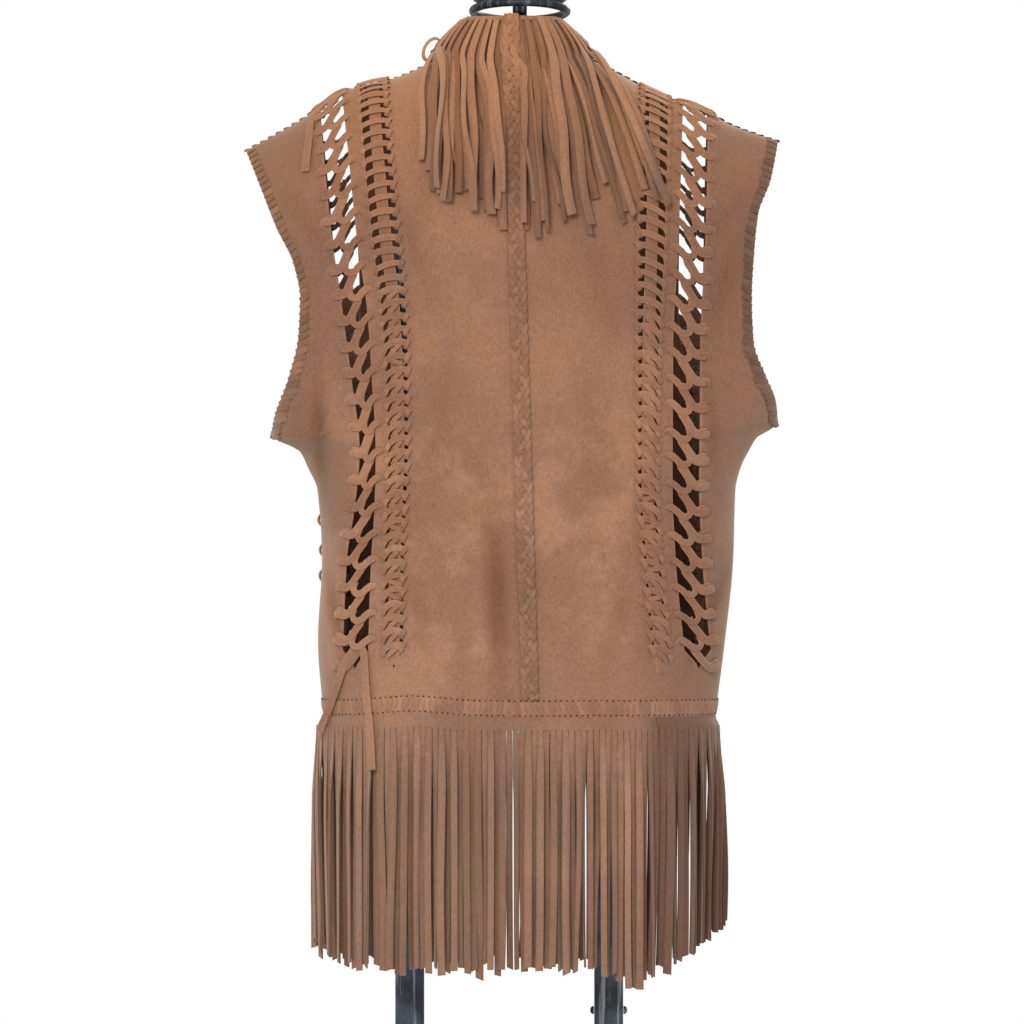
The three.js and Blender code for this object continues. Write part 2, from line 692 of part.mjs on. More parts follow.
function rod(points, radius, steps, curveSegments = 5) {
  const section = new THREE.Shape();
  section.absarc(0, 0, radius, 0, 2 * Math.PI);
  return new THREE.ExtrudeGeometry(section, {
    steps, curveSegments, bevelEnabled: false,
    extrudePath: new THREE.CatmullRomCurve3(points),
  });
}

/** Middle height of the shoulder bar, just under the cloth of the shoulder. */
function barHeight(x) {
  const away = Math.max(Math.abs(x), neckHalf + 4) * (Math.sign(x) || 1);
  const slope = (shoulderLine(away + 1) - shoulderLine(away - 1)) / 2;
  const below = suede + bar.clear + bar.radius;
  return shoulderLine(away) - below * Math.hypot(1, slope);
}

addPiece('base_plate', plate(base.wide, base.deep, base.thick, base.corner), ironMaterial);

const barPoints = Array.from({ length: 19 }, (_, i) => {
  const x = bar.reach * (i / 9 - 1);
  return new THREE.Vector3(x, 0, barHeight(x));
});
addPiece('shoulder_bar', rod(barPoints, bar.radius, 22), ironMaterial);

for (const [name, x] of [['right', post.plus], ['left', post.minus]]) {
  const foot = base.thick + seam;
  const shoe = addPiece(`post_shoe_${name}`, plate(60, 50, 6, 6, 2), ironMaterial);
  shoe.position.set(x, 0, foot);
  const start = foot + 6 + seam;
  const lowest = Math.min(barHeight(x - post.wide / 2), barHeight(x + post.wide / 2));
  const upright = addPiece(`post_${name}`,
    plate(post.wide, post.deep, lowest - 1.16 * bar.radius - seam - start, post.corner, 2),
    ironMaterial);
  upright.position.set(x, 0, start);
}

const pinHeight = 281;
for (const [name, way] of [['inner', 1], ['outer', -1]]) {
  const length = 3.4;
  const head = addPiece(`post_rivet_${name}`, new THREE.CylinderGeometry(3.6, 3.6, length, 10),
    ironMaterial);
  head.rotation.z = Math.PI / 2;
  head.position.set(post.minus + way * (post.wide / 2 + seam + length / 2), 0, pinHeight);
}

/** Joins closed geometries into one. */
function join(geometries) {
  const solids = geometries.map((geometry) => {
    const bare = geometry.clone();
    bare.deleteAttribute('normal');
    bare.deleteAttribute('uv');
    const merged = mergeVertices(bare, 1e-3);
    return new wasm.Manifold(new wasm.Mesh({
      numProp: 3,
      vertProperties: new Float32Array(merged.attributes.position.array),
      triVerts: new Uint32Array(merged.index.array),
    }));
  });
  const mesh = solids.reduce((sum, solid) => sum.add(solid)).getMesh();
  const geometry = new THREE.BufferGeometry();
  geometry.setAttribute('position', new THREE.BufferAttribute(mesh.vertProperties, 3));
  geometry.setIndex(new THREE.BufferAttribute(mesh.triVerts, 1));
  return geometry;
}

/** The neck: a stem with a two-turn coil of rod round it, whose end curls up. */
function neckFinial() {
  const stemFoot = barHeight(neck.shift) + 0.95 * bar.radius;
  const length = neck.top - stemFoot;
  const stem = new THREE.CylinderGeometry(neck.stem, neck.stem, length, 10);
  stem.rotateX(Math.PI / 2).translate(neck.shift, 0, stemFoot + length / 2);
  const hoop = (height, radius, tilt) => {
    const ring = new THREE.TorusGeometry(radius, neck.rod, 6, 20);
    return ring.rotateX(tilt).translate(neck.shift, 0, height);
  };
  const spoke = (height, tilt) => {
    const arm = new THREE.CylinderGeometry(neck.rod, neck.rod, 2 * neck.ring - 2, 6);
    return arm.rotateX(tilt).translate(neck.shift, 0, height);
  };
  const side = neck.shift - neck.ring;
  const curl = rod([
    [side + 6, 12, 1191], [side - 1, 6, 1197], [side - 3, 0, 1206],
    [side + 4, -2, 1215], [side + 13, -2, 1216], [side + 14, -2, 1209],
  ].map((p) => new THREE.Vector3(...p)), neck.rod, 10, 3);
  return join([
    stem, hoop(neck.lower, neck.ring, neck.tilt), hoop(neck.upper, neck.ring - 3, -neck.tilt),
    spoke(neck.lower, neck.tilt), spoke(neck.upper, -neck.tilt), curl,
  ]);
}
addPiece('neck_finial', neckFinial(), ironMaterial);

export default vest;
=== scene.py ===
import logging
import math
from dataclasses import dataclass, field
from enum import Enum
from typing import Callable, Sequence

import bpy
import numpy as np
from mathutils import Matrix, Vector


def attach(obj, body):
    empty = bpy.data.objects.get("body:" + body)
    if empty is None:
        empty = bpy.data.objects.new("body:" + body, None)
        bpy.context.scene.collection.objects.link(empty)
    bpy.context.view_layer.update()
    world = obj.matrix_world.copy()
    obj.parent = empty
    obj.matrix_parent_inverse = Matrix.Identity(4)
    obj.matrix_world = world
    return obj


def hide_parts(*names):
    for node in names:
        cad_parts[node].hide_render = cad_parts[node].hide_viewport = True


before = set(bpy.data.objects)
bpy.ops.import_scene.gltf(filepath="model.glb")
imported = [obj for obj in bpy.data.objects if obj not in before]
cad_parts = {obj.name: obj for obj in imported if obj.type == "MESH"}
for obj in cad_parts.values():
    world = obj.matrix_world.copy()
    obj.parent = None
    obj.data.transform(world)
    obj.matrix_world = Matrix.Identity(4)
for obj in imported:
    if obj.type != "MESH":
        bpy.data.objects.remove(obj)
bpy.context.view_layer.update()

log = logging.getLogger("vest")

Array = np.ndarray
EdgeLine = Callable[[Array], Array]

MM = 0.001                 # the sizes below are in millimetres, the meshes in metres
ROOT = "root"

SUEDE = 1.6                # thickness of the cut suede
SEAM = 0.3                 # gap between neighbouring pieces
PANEL_FOOT = 562.7         # height of the lower edge of the panels
BAND_FOOT = 546.8          # lower edge of the hem band
FRINGE_ROOT = 535.3        # where the slits of the hem fringe start
FRINGE_JOIN = -131.0       # place across where the back's two lengths of fringe meet
JOIN_GAP = 0.0015          # gap there, in quarter turns round the hem
LACE_HALF = 3.6            # half width of the flat suede lace
LACE_THICK = 1.7
JUST_UNDER = 0.02          # how far below the shoulder line the highest points stay
FIRST_HEIGHT = 900.0       # height from which a search for a point of the cloth starts
SEARCH_ROUNDS = 8


class Face(Enum):
    """The two faces of the vest: which way each looks along Y."""

    BACK = 1
    FRONT = -1


# ---- tables of sizes, in millimetres ----

BODY = {
    "height": [300, 535, 547, 562, 614, 686, 749, 770, 784, 797, 807.5, 850, 920, 1000, 1060, 1170],
    "plus": [176, 176, 169, 171, 174.6, 171, 175, 184, 191, 216, 218, 222, 226, 236, 246, 250],
    "minus": [187, 187, 183, 185, 191.7, 199, 201, 206, 213, 221, 238.5, 242, 243, 245, 249, 252],
    "back": [100, 106, 107, 108, 108, 106, 109, 110, 110, 110, 110, 110, 106, 98, 86, 80],
    "front": [98, 104, 105, 106, 108, 108, 113, 114, 114, 114, 114, 112, 108, 98, 86, 80],
}
SHOULDER = {
    "across": [-245, -196, -169, -133, -97, -65, 0, 65, 101, 150, 191, 245],
    "height": [1061, 1078, 1093, 1104, 1123, 1139, 1166, 1137, 1121, 1108, 1081, 1051],
}
ARMHOLE_PLUS = {
    "height": [797, 812, 848, 884, 920, 951.5, 983, 1019, 1055],
    "across": [216, 213.3, 199.8, 190.8, 189, 195.3, 210.6, 225, 239.4],
}
ARMHOLE_MINUS = {
    "height": [807.5, 825.5, 848, 879.5, 920, 956, 996.5, 1028, 1064],
    "across": [238.5, 236.7, 227.7, 216, 214.2, 216, 220.5, 232.2, 239.4],
}
LACING_PLUS = {
    "height": [596, 686, 731, 785, 848, 920, 965, 1041, 1130],
    "narrow": [105.3, 104.4, 103, 101, 102, 106, 111.5, 119, 126],
    "band": [7.8, 8, 8.2, 8.6, 9.6, 10.8, 11.8, 12, 12],
    "wide": [140.4, 137, 132, 128.7, 134, 141.5, 148.5, 156.5, 166],
    "open": [11.5, 11, 9, 7, 9, 11, 11, 11, 10],
}
LACING_MINUS = {
    "height": [596, 686, 758, 875, 965, 1130],
    "narrow": [133, 125, 120.6, 121.5, 124.2, 129],
    "band": [7.2, 7.5, 8, 9.4, 11.6, 12],
    "wide": [167.4, 158.4, 155.3, 155.7, 160.2, 166],
    "open": [12, 12, 12, 12, 12, 11],
}
FRONT_LACING = {
    "height": [596, 731, 785, 920, 1130],
    "plus": [152, 154, 158, 150, 166],
    "minus": [168, 172, 172, 163, 166],
}
# Soft folds: across, height, half width, half length, lean across per height, depth outwards.
BACK_FOLDS = [
    (172, 820, 15, 80, 0.0, -6), (163, 722, 13, 60, 0.42, 5), (-186, 700, 13, 60, -0.38, 5),
    (-196, 830, 18, 70, 0.1, -5), (58, 700, 34, 130, 0.05, -4), (-62, 660, 30, 120, -0.05, -3.5),
    (20, 620, 26, 70, 0.0, 3), (-20, 900, 40, 90, 0.0, 2.5),
]
FRONT_FOLDS = [
    (120, 840, 22, 100, 0.25, -7), (-124, 850, 22, 100, -0.25, -7), (70, 690, 24, 110, 0.1, 6),
    (-74, 680, 24, 110, -0.08, 6),
]
# Finer creases that the thick solids leave out, in the same columns.
BACK_CREASES = [
    (13, 650, 9, 80, 0.03, -5.6), (30, 640, 10, 60, 0.03, 3.2), (-6, 648, 5, 60, 0.0, -1.0),
    (83, 640, 9, 40, 0.25, -1.8), (-92, 628, 10, 44, -0.2, -2.0), (-44, 745, 13, 50, 0.1, 1.8),
    (66, 800, 12, 60, -0.12, -1.8), (-70, 812, 14, 52, 0.15, -1.8), (40, 905, 13, 46, -0.25, 1.6),
    (-84, 930, 10, 40, 0.3, -1.4), (88, 968, 7, 34, 0.35, -1.4), (-38, 590, 10, 26, 0.1, 1.8),
    (48, 588, 8, 22, -0.1, -2.0), (186, 905, 7, 34, 0.5, 1.8), (182, 985, 9, 30, 0.7, -1.9),
    (-188, 930, 9, 40, -0.3, -2.0), (-200, 1004, 10, 30, -0.8, -1.8), (158, 640, 6, 34, 0.2, -3.4),
    (165, 628, 6, 30, 0.25, 3.2), (150, 585, 9, 18, 0.5, 2.0), (-175, 636, 7, 46, -0.42, -4.8),
    (-186, 641, 7, 42, -0.42, 3.6), (-150, 590, 8, 20, -0.3, 1.8), (-192, 745, 7, 26, -0.4, 2.4),
    (171, 790, 6, 54, 0.04, -4.2), (162, 786, 7, 50, 0.04, 2.6), (-178, 800, 7, 40, 0.1, -2.6),
    (190, 690, 8, 40, -0.1, -2.4),
]
FRONT_CREASES = [
    (44, 618, 9, 56, 0.06, -4.4), (-52, 612, 10, 48, -0.05, -4.0), (60, 900, 12, 66, 0.3, -4.4),
    (-66, 915, 12, 60, -0.28, -4.2), (34, 760, 10, 74, 0.1, -3.6), (-30, 734, 11, 66, -0.14, -3.4),
    (98, 730, 11, 70, 0.16, -3.8), (-104, 742, 11, 64, -0.18, -3.6), (110, 620, 9, 36, 0.2, 2.0),
    (-118, 616, 9, 32, -0.2, 1.8), (90, 1010, 9, 40, 0.5, 1.6), (-96, 1004, 9, 44, -0.5, 1.6),
    (186, 700, 6, 40, 0.2, 1.6),
]
FRINGE_ENDS = {
    "across": [-190, -178, -160, -132, -110, -60, 0, 90, 150, 170, 180],
    "height": [368, 350, 334, 318, 308, 320, 322, 321, 327, 336, 342],
}
COLLAR_ENDS = {
    "turn": [-0.93, -0.85, -0.6, -0.3, 0, 0.2, 0.5, 0.85, 0.93],
    "across": [-140, -134, -100, -52, -14, 14, 42, 74, 80],
    "height": [1022, 1010, 988, 985, 979, 994, 1010, 1015, 1018],
}


class Rail:
    """A smooth curve through one column of a table, with no overshoot between its rows.

    Between two rows it is the cubic that meets both values and both slopes. The slope at a
    row is the harmonic mean of the slopes on its two sides, or zero at a peak.
    """

    def __init__(self, rows: dict[str, list[float]], column: str, key: str = "height") -> None:
        """Works out the slope at each row.

        Args:
            rows: the table, as named columns.
            column: the column that the curve gives.
            key: the rising column that it is read by.
        """
        self.at = np.asarray(rows[key], dtype=float)
        self.value = np.asarray(rows[column], dtype=float)
        secant = np.diff(self.value) / np.diff(self.at)
        product = secant[:-1] * secant[1:]
        total = np.where(product > 0, secant[:-1] + secant[1:], 1.0)
        inner = np.where(product > 0, 2 * product / total, 0.0)
        self.slope = np.concatenate([secant[:1], inner, secant[-1:]])

    def __call__(self, where: Array) -> Array:
        """Gives the curve's value at every place in where."""
        v = np.clip(where, self.at[0], self.at[-1])
        i = np.clip(np.searchsorted(self.at, v) - 1, 0, len(self.at) - 2)
        step = self.at[i + 1] - self.at[i]
        t = (v - self.at[i]) / step
        rise = eased(t)
        bend = step * t * (1 - t) * (self.slope[i] * (1 - t) - self.slope[i + 1] * t)
        return self.value[i] * (1 - rise) + self.value[i + 1] * rise + bend


def eased(t: Array) -> Array:
    """The share t with a level start and end: t squared times 3 less 2 t."""
    return t * t * (3 - 2 * t)


def through(stops: Sequence[Sequence[float]], stations: int) -> tuple[Array, Array]:
    """A smooth curve through rows of numbers, at even steps from the first to the last.

    Args:
        stops: the rows.
        stations: number of places along the curve.

    Returns:
        The curve's columns, each as one line of stations, and the share of the way at each.
    """
    table = np.array(stops, dtype=float)
    key = np.arange(len(table), dtype=float)
    t = np.linspace(0, key[-1], stations)[None]
    columns = [Rail({"key": key, "value": column}, "value", "key")(t) for column in table.T]
    return np.stack(columns), t / key[-1]


def middles(count: int) -> Array:
    """Middles of count equal shares of the way from 0 to 1."""
    return (np.arange(count) + 0.5) / count


def draws(seed: int, *shape: int) -> Array:
    """Random numbers from -1 to 1 in this shape, the same for the same seed."""
    return np.random.default_rng(seed).uniform(-1, 1, shape)


def run_along(line: Array) -> Array:
    """Length of a line of points from its start to each of them."""
    return np.concatenate([[0], np.cumsum(np.linalg.norm(np.diff(line, axis=0), axis=-1))])


def smoothed(line: Array, rounds: int = 1) -> Array:
    """Each station of the lines as a weighted mean of itself and its neighbours, some times."""
    for _ in range(rounds):
        padded = np.concatenate([line[:, :1], line, line[:, -1:]], axis=1)
        line = 0.25 * padded[:, :-2] + 0.5 * padded[:, 1:-1] + 0.25 * padded[:, 2:]
    return line


def unit(v: Array) -> Array:
    """Scales every vector of an array to length one."""
    return v / np.maximum(np.linalg.norm(v, axis=-1, keepdims=True), 1e-9)


def bells(table: Sequence[tuple], weight: Callable[[float, float], float], x: Array,
          z: Array) -> Array:
    """A sum of the long soft bells of a table of folds, each leaning its way.

    Args:
        table: the folds.
        weight: height of a bell, by its depth and its half width.
        x: places across.
        z: heights.

    Returns:
        The sum at every point.
    """
    total = np.zeros(np.broadcast(x, z).shape)
    for across, height, half_wide, half_long, lean, depth in table:
        v = z - height
        u = x - across - lean * v
        bell = np.exp(-((u / half_wide) ** 2) - (v / half_long) ** 2)
        total = total + weight(depth, half_wide) * bell
    return total


@dataclass
class WornCloth:
    """The surface that every piece of the vest lies on: a soft, squared-off barrel whose front
    and back turn over into a shoulder line."""

    roundness: float = 2.4        # exponent of the section: 2 is an ellipse
    shoulder_round: float = 95.0
    neck_half: float = 65.0
    neck_dip: float = 12.0
    neck_height: float = 1138.0
    front_gap: float = 9.0
    neck_point: float = 1000.0
    hem_rise: float = 4.5         # how far the hem seam climbs on the wearer's right back
    hem_rise_at: float = 88.0     # where across
    hem_rise_height: float = 556.0
    hem_rise_half: float = 38.0   # over what half width
    hem_rise_tall: float = 30.0   # and half height
    fold_depth: float = 100.0     # depth of body at which the folds have their stated depth
    crest: float = 0.6            # a crease that stands out further than this gets no more painted light
    crease_contrast: float = 0.9
    crease_shades: tuple = (0.04, 0.6)
    seam_foot: float = -16.0      # place of the centre back seam at the panels' foot
    seam_lean: float = 17.0       # and how far it leans from there to the neck
    front_fall: float = 110.0     # fall of the neck seam a quarter turn past the shoulder
    plus: Rail = field(default_factory=lambda: Rail(BODY, "plus"))
    minus: Rail = field(default_factory=lambda: Rail(BODY, "minus"))
    back: Rail = field(default_factory=lambda: Rail(BODY, "back"))
    front: Rail = field(default_factory=lambda: Rail(BODY, "front"))
    shoulder: Rail = field(default_factory=lambda: Rail(SHOULDER, "height", "across"))

    def half_width(self, x: Array, z: Array) -> Array:
        """Half width of the body on the side of x at height z."""
        return np.where(x >= 0, self.plus(z), self.minus(z))

    def drop_of(self, run: Array) -> Array:
        """Drop below the shoulder line after a run along the cloth: a quarter turn of the
        shoulder's radius, then straight down."""
        quarter = self.shoulder_round * math.pi / 2
        angle = np.minimum(run / self.shoulder_round, math.pi / 2)
        return self.shoulder_round * (1 - np.cos(angle)) + np.maximum(run - quarter, 0)

    def run_of(self, drop: Array) -> Array:
        """Run along the cloth for a drop below the shoulder line."""
        turned = np.arccos(1 - np.clip(drop / self.shoulder_round, 0, 1))
        return self.shoulder_round * turned + np.maximum(drop - self.shoulder_round, 0)

    def squared_depth(self, face: Face, x: Array, z: Array) -> Array:
        """Square of the cloth's distance from the plane of the side seams.

        It is depth squared times the section, (1 - |x / half width| to the roundness) to
        2 / roundness, times the shoulder's turn, 1 - (1 - drop / radius) squared.
        """
        depth = self.back(z) if face is Face.BACK else self.front(z)
        inside = 1 - (np.abs(x) / self.half_width(x, z)) ** self.roundness
        section = np.sign(inside) * np.abs(inside) ** (2 / self.roundness)
        below = np.minimum(self.shoulder(x) - z, self.shoulder_round)
        turn = 1 - (1 - below / self.shoulder_round) ** 2
        return depth * depth * section * turn

    def folds(self, face: Face, x: Array, z: Array) -> Array:
        """Height of the folds and creases."""
        table = BACK_FOLDS + BACK_CREASES if face is Face.BACK else FRONT_FOLDS + FRONT_CREASES
        return bells(table, lambda depth, half_wide: depth, x, z)

    def painted_crease_shade(self, face: Face, x: Array, z: Array) -> Array:
        """Painted shade and light of the finer creases: 0.5 on plain cloth, less in the troughs,
        more on the ridges.
        """
        table = BACK_CREASES if face is Face.BACK else FRONT_CREASES
        slope = bells(table, lambda depth, half_wide: min(depth, self.crest) / half_wide, x, z)
        return np.clip(0.5 + self.crease_contrast * slope, *self.crease_shades)

    def outward(self, face: Face, x: Array, z: Array) -> Array:
        """Unit normal of the plain surface: the slope of depth squared, turned outwards."""
        step = 0.05
        depth = np.sqrt(np.maximum(self.squared_depth(face, x, z), 0))
        side = self.squared_depth(face, x - step, z) - self.squared_depth(face, x + step, z)
        rise = self.squared_depth(face, x, z - step) - self.squared_depth(face, x, z + step)
        slopes = [side / (2 * step), 2 * depth * face.value, rise / (2 * step)]
        return unit(np.stack(np.broadcast_arrays(*slopes), axis=-1))

    def point(self, face: Face, x: Array, z: Array, lift: Array | float = 0.0) -> Array:
        """Points of the cloth over x and z, moved out along the normal by lift.

        Args:
            face: back or front.
            x: places across.
            z: heights.
            lift: distance outwards, a number or one for each point.

        Returns:
            An array of points with one more axis, of three.
        """
        x, z, lift = np.broadcast_arrays(*(np.asarray(v, dtype=float) for v in (x, z, lift)))
        depth = np.sqrt(np.maximum(self.squared_depth(face, x, z), 0))
        folded = depth * (1 + self.folds(face, x, z) / self.fold_depth)
        near_hem = np.exp(-(((x - self.hem_rise_at) / self.hem_rise_half) ** 2)
                          - ((z - self.hem_rise_height) / self.hem_rise_tall) ** 2)
        climb = self.hem_rise * near_hem if face is Face.BACK else 0 * near_hem
        base = np.stack([x, face.value * (folded + SEAM / 2), z + climb], axis=-1)
        return base + self.outward(face, x, z) * lift[..., None]

    def laid(self, face: Face, x: Array, z: Array, lift: Array | float) -> tuple[Array, Array]:
        """The same points, and the unit normals there."""
        return self.point(face, x, z, lift), self.outward(face, x, z)

    def below_shoulder(self, face: Face, sign: int, line: EdgeLine, run: EdgeLine,
                       lift: Array | float) -> tuple[Array, Array]:
        """Points of a line at a run below the shoulder line, and the unit normals there.

        The place across and the height depend on each other, so both are found in rounds.

        Args:
            face: back or front.
            sign: 1 on the wearer's right and -1 on the left.
            line: distance from the middle, by height.
            run: run below the shoulder line, by the height of that line.
            lift: distance out of the cloth.

        Returns:
            The points and the normals.
        """
        z = FIRST_HEIGHT
        for _ in range(SEARCH_ROUNDS + 1):
            ridge = self.shoulder(sign * line(z))
            z = ridge - self.drop_of(run(ridge)) - JUST_UNDER
        return self.laid(face, sign * line(z), z, lift)

    def top_height(self, face: Face, x: Array) -> Array:
        """Height where the cloth ends: the shoulder seam, or the neckline of the back."""
        ridge = self.shoulder(x)
        if face is Face.FRONT:
            return ridge
        reach = np.abs(x) / self.neck_half
        dipped = np.minimum(self.neck_height - self.neck_dip * (1 - reach * reach), ridge)
        return np.where(reach >= 1, ridge, dipped)

    def section_angle(self, x: Array, z: Array) -> Array:
        """Angle round the body's section of a place x at height z."""
        share = np.minimum(np.abs(x) / self.half_width(x, z), 1)
        return np.sign(x) * np.arcsin(share ** (self.roundness / 2))

    def section_place(self, angle: Array, z: Array) -> Array:
        """Place across of an angle round the body's section at height z."""
        return (np.sign(angle) * self.half_width(angle, z)
                * np.abs(np.sin(angle)) ** (2 / self.roundness))

    def centre_seam(self, z: Array) -> Array:
        """Place of the centre back seam, which leans a little from hem to neck."""
        return (self.seam_foot
                + (z - PANEL_FOOT) * self.seam_lean / (self.neck_height - PANEL_FOOT))

    def front_edge(self, z: Array) -> Array:
        """Distance from the middle to the edge of a front, flaring in a V to the neck."""
        flare = np.maximum(z - self.neck_point, 0) / (self.neck_height - self.neck_point)
        return self.front_gap + flare * (self.neck_half - self.front_gap)

    def neck_seam(self, turn: Array) -> Array:
        """Points of the neck seam: turn 0 is the centre back, 1 and -1 the shoulder seams."""
        sign = np.where(turn < 0, -1.0, 1.0)
        x = self.neck_half * np.sin(np.clip(turn, -1, 1) * math.pi / 2)
        behind = self.point(Face.BACK, x, self.top_height(Face.BACK, x) - JUST_UNDER / 2)
        past = np.maximum(np.abs(turn) - 1, 0)
        z = self.shoulder(sign * self.neck_half) - past * self.front_fall
        before = self.point(Face.FRONT, sign * self.front_edge(z), z)
        return np.where((np.abs(turn) <= 1)[..., None], behind, before)

    def over_shoulder(self, x: Array, run: Array, lift: Array) -> Array:
        """Points at a run from the shoulder line, on the back where run is positive."""
        z = self.shoulder(x) - self.drop_of(np.abs(run)) - JUST_UNDER / 2
        behind = self.point(Face.BACK, x, z, lift)
        before = self.point(Face.FRONT, x, z, lift)
        return np.where((run >= 0)[..., None], behind, before)


# ---- meshes ----


@dataclass
class MeshPart:
    """A closed mesh in millimetres: points, four-cornered faces and two values a point.

    rim is 1 on a cut edge and 0 inside it; tone is the shade of each separate strap.
    """

    points: Array
    quads: Array
    rim: Array
    tone: Array

    def outward_facing(self) -> "MeshPart":
        """Turns the faces over if the volume that they enclose comes out negative."""
        a, b, c, d = (self.points[self.quads[:, k]] for k in range(4))
        volume = np.sum(a * np.cross(b, c)) + np.sum(a * np.cross(c, d))
        quads = self.quads if volume > 0 else self.quads[:, ::-1]
        return MeshPart(self.points, quads, self.rim, self.tone)


def plain(points: Array, quads: Array) -> MeshPart:
    """A mesh with no worn rim and one shade, turned to face outwards."""
    points = points.reshape(-1, 3)
    zero = np.zeros(len(points))
    return MeshPart(points, quads, zero, zero + 0.5).outward_facing()


def skin(rings: Array) -> Array:
    """Faces between neighbouring rings of point numbers, which run round the last axis."""
    beside = np.roll(rings, -1, axis=-1)
    faces = [rings[..., :-1, :], beside[..., :-1, :], beside[..., 1:, :], rings[..., 1:, :]]
    return np.stack(faces, -1).reshape(-1, 4)


def joined(parts: Sequence[MeshPart]) -> MeshPart:
    """Puts several meshes into one."""
    starts = np.cumsum([0] + [len(part.points) for part in parts[:-1]])
    quads = [part.quads + start for part, start in zip(parts, starts)]
    return MeshPart(
        np.concatenate([part.points for part in parts]), np.concatenate(quads),
        np.concatenate([part.rim for part in parts]), np.concatenate([part.tone for part in parts]))


def wall(outer: Array, inner: Array, rim: Array | None = None,
         tone: Array | float = 0.5, under_tone: float = 0.5) -> MeshPart:
    """A closed wall of cloth between an outer and an inner grid of points.

    Args:
        outer: points of the face side, columns by rows by three.
        inner: points of the back side, in the same grid.
        rim: nearness to a cut edge for each point of the grid, or None for none.
        tone: shade of the face side, or one for each point of the grid.
        under_tone: shade of the back side.

    Returns:
        The wall with its four edges closed.
    """
    columns, rows = outer.shape[:2]
    spot = np.arange(columns * rows).reshape(columns, rows)
    under = spot + columns * rows
    cells = np.stack([spot[:-1, :-1], spot[1:, :-1], spot[1:, 1:], spot[:-1, 1:]], -1)
    below = np.stack([under[:-1, 1:], under[1:, 1:], under[1:, :-1], under[:-1, :-1]], -1)
    loop = np.concatenate([spot[:-1, 0], spot[-1, :-1], spot[:0:-1, -1], spot[0, :0:-1]])
    next_one = np.roll(loop, -1)
    sides = np.stack([next_one, loop, loop + columns * rows, next_one + columns * rows], -1)
    quads = np.concatenate([cells.reshape(-1, 4), below.reshape(-1, 4), sides])
    points = np.concatenate([outer.reshape(-1, 3), inner.reshape(-1, 3)])
    edge = np.zeros(columns * rows) if rim is None else rim.ravel()
    values = np.concatenate([edge, edge])
    shade = np.broadcast_to(tone, (columns, rows)).ravel()
    below_shade = np.full(columns * rows, under_tone)
    return MeshPart(points, quads, values, np.concatenate([shade, below_shade])).outward_facing()


# Section of a flat strap: across as a share of its half width, through of its thickness.
STRAP_SECTION = np.array([(-1, -0.22), (-0.9, -0.5), (0, -0.5), (0.9, -0.5), (1, -0.22),
                          (1, 0.22), (0.9, 0.5), (0, 0.5), (-0.9, 0.5), (-1, 0.22)])
STRAP_RIM = np.array([1.0, 0.1, 0, 0.1, 1.0, 1.0, 0.1, 0, 0.1, 1.0])


def strap_frames(path: Array, outward: Array, twist: Array | float = 0.0) -> tuple[Array, Array]:
    """Directions across and through straps along their paths.

    Across is the cross product of the way along and outward; both are then turned by twist
    radians about the way along.

    Args:
        path: points, straps by stations by three.
        outward: rough outward directions, in the same shape.
        twist: turn for each station, or one number.

    Returns:
        The unit directions across and through.
    """
    ahead = unit(np.gradient(path, axis=1))
    side = unit(np.cross(ahead, outward))
    through = unit(np.cross(side, ahead))
    turn = np.broadcast_to(np.asarray(twist, dtype=float), path.shape[:2])[..., None]
    return (side * np.cos(turn) + through * np.sin(turn),
            through * np.cos(turn) - side * np.sin(turn))


def straps(path: Array, outward: Array, half: Array | float, thick: float,
           twist: Array | float = 0.0, tone: Array | None = None, cup: Array | float = 0.0,
           cut: Array | float = 0.0) -> MeshPart:
    """Flat straps with softened edges, each a section carried along its own path.

    Args:
        path: points, straps by stations by three.
        outward: rough outward directions, in the same shape.
        half: half width, a number or one for each station.
        thick: thickness.
        twist: turn about the way along, in radians.
        tone: shade of each strap, or of each station, or None for one shade.
        cup: how far the middle of the section bows out, as a share of the half width.
        cut: slant of the far end of each strap, as a slope.

    Returns:
        All the straps as one mesh, with closed ends.
    """
    count, stations = path.shape[:2]
    side, through = strap_frames(path, outward, twist)
    wide = np.broadcast_to(np.asarray(half, dtype=float), (count, stations))[..., None, None]
    across, depth = STRAP_SECTION[:, 0, None], STRAP_SECTION[:, 1, None]
    bow = np.reshape(cup, (-1, 1, 1, 1)) * (1 - across ** 2) * wide
    ring = (path[:, :, None] + side[:, :, None] * across * wide
            + through[:, :, None] * (depth * thick + bow))
    ahead = unit(path[:, -1] - path[:, -2])[:, None]
    ring[:, -1] += ahead * across * wide[:, -1] * np.reshape(cut, (-1, 1, 1))
    corners = len(STRAP_SECTION)
    spot = np.arange(count * stations * corners).reshape(count, stations, corners)
    caps = np.array([(0, 1, 8, 9), (1, 2, 7, 8), (2, 3, 6, 7), (3, 4, 5, 6)])
    first, last = spot[:, 0][:, caps[:, ::-1]], spot[:, -1][:, caps]
    quads = np.concatenate([skin(spot), first.reshape(-1, 4), last.reshape(-1, 4)])
    rim = np.tile(STRAP_RIM, count * stations)
    shade = np.full(count, 0.5) if tone is None else tone
    shade = np.broadcast_to(np.reshape(shade, (count, -1)), (count, stations))
    return MeshPart(ring.reshape(-1, 3), quads, rim,
                    np.repeat(shade, corners)).outward_facing()


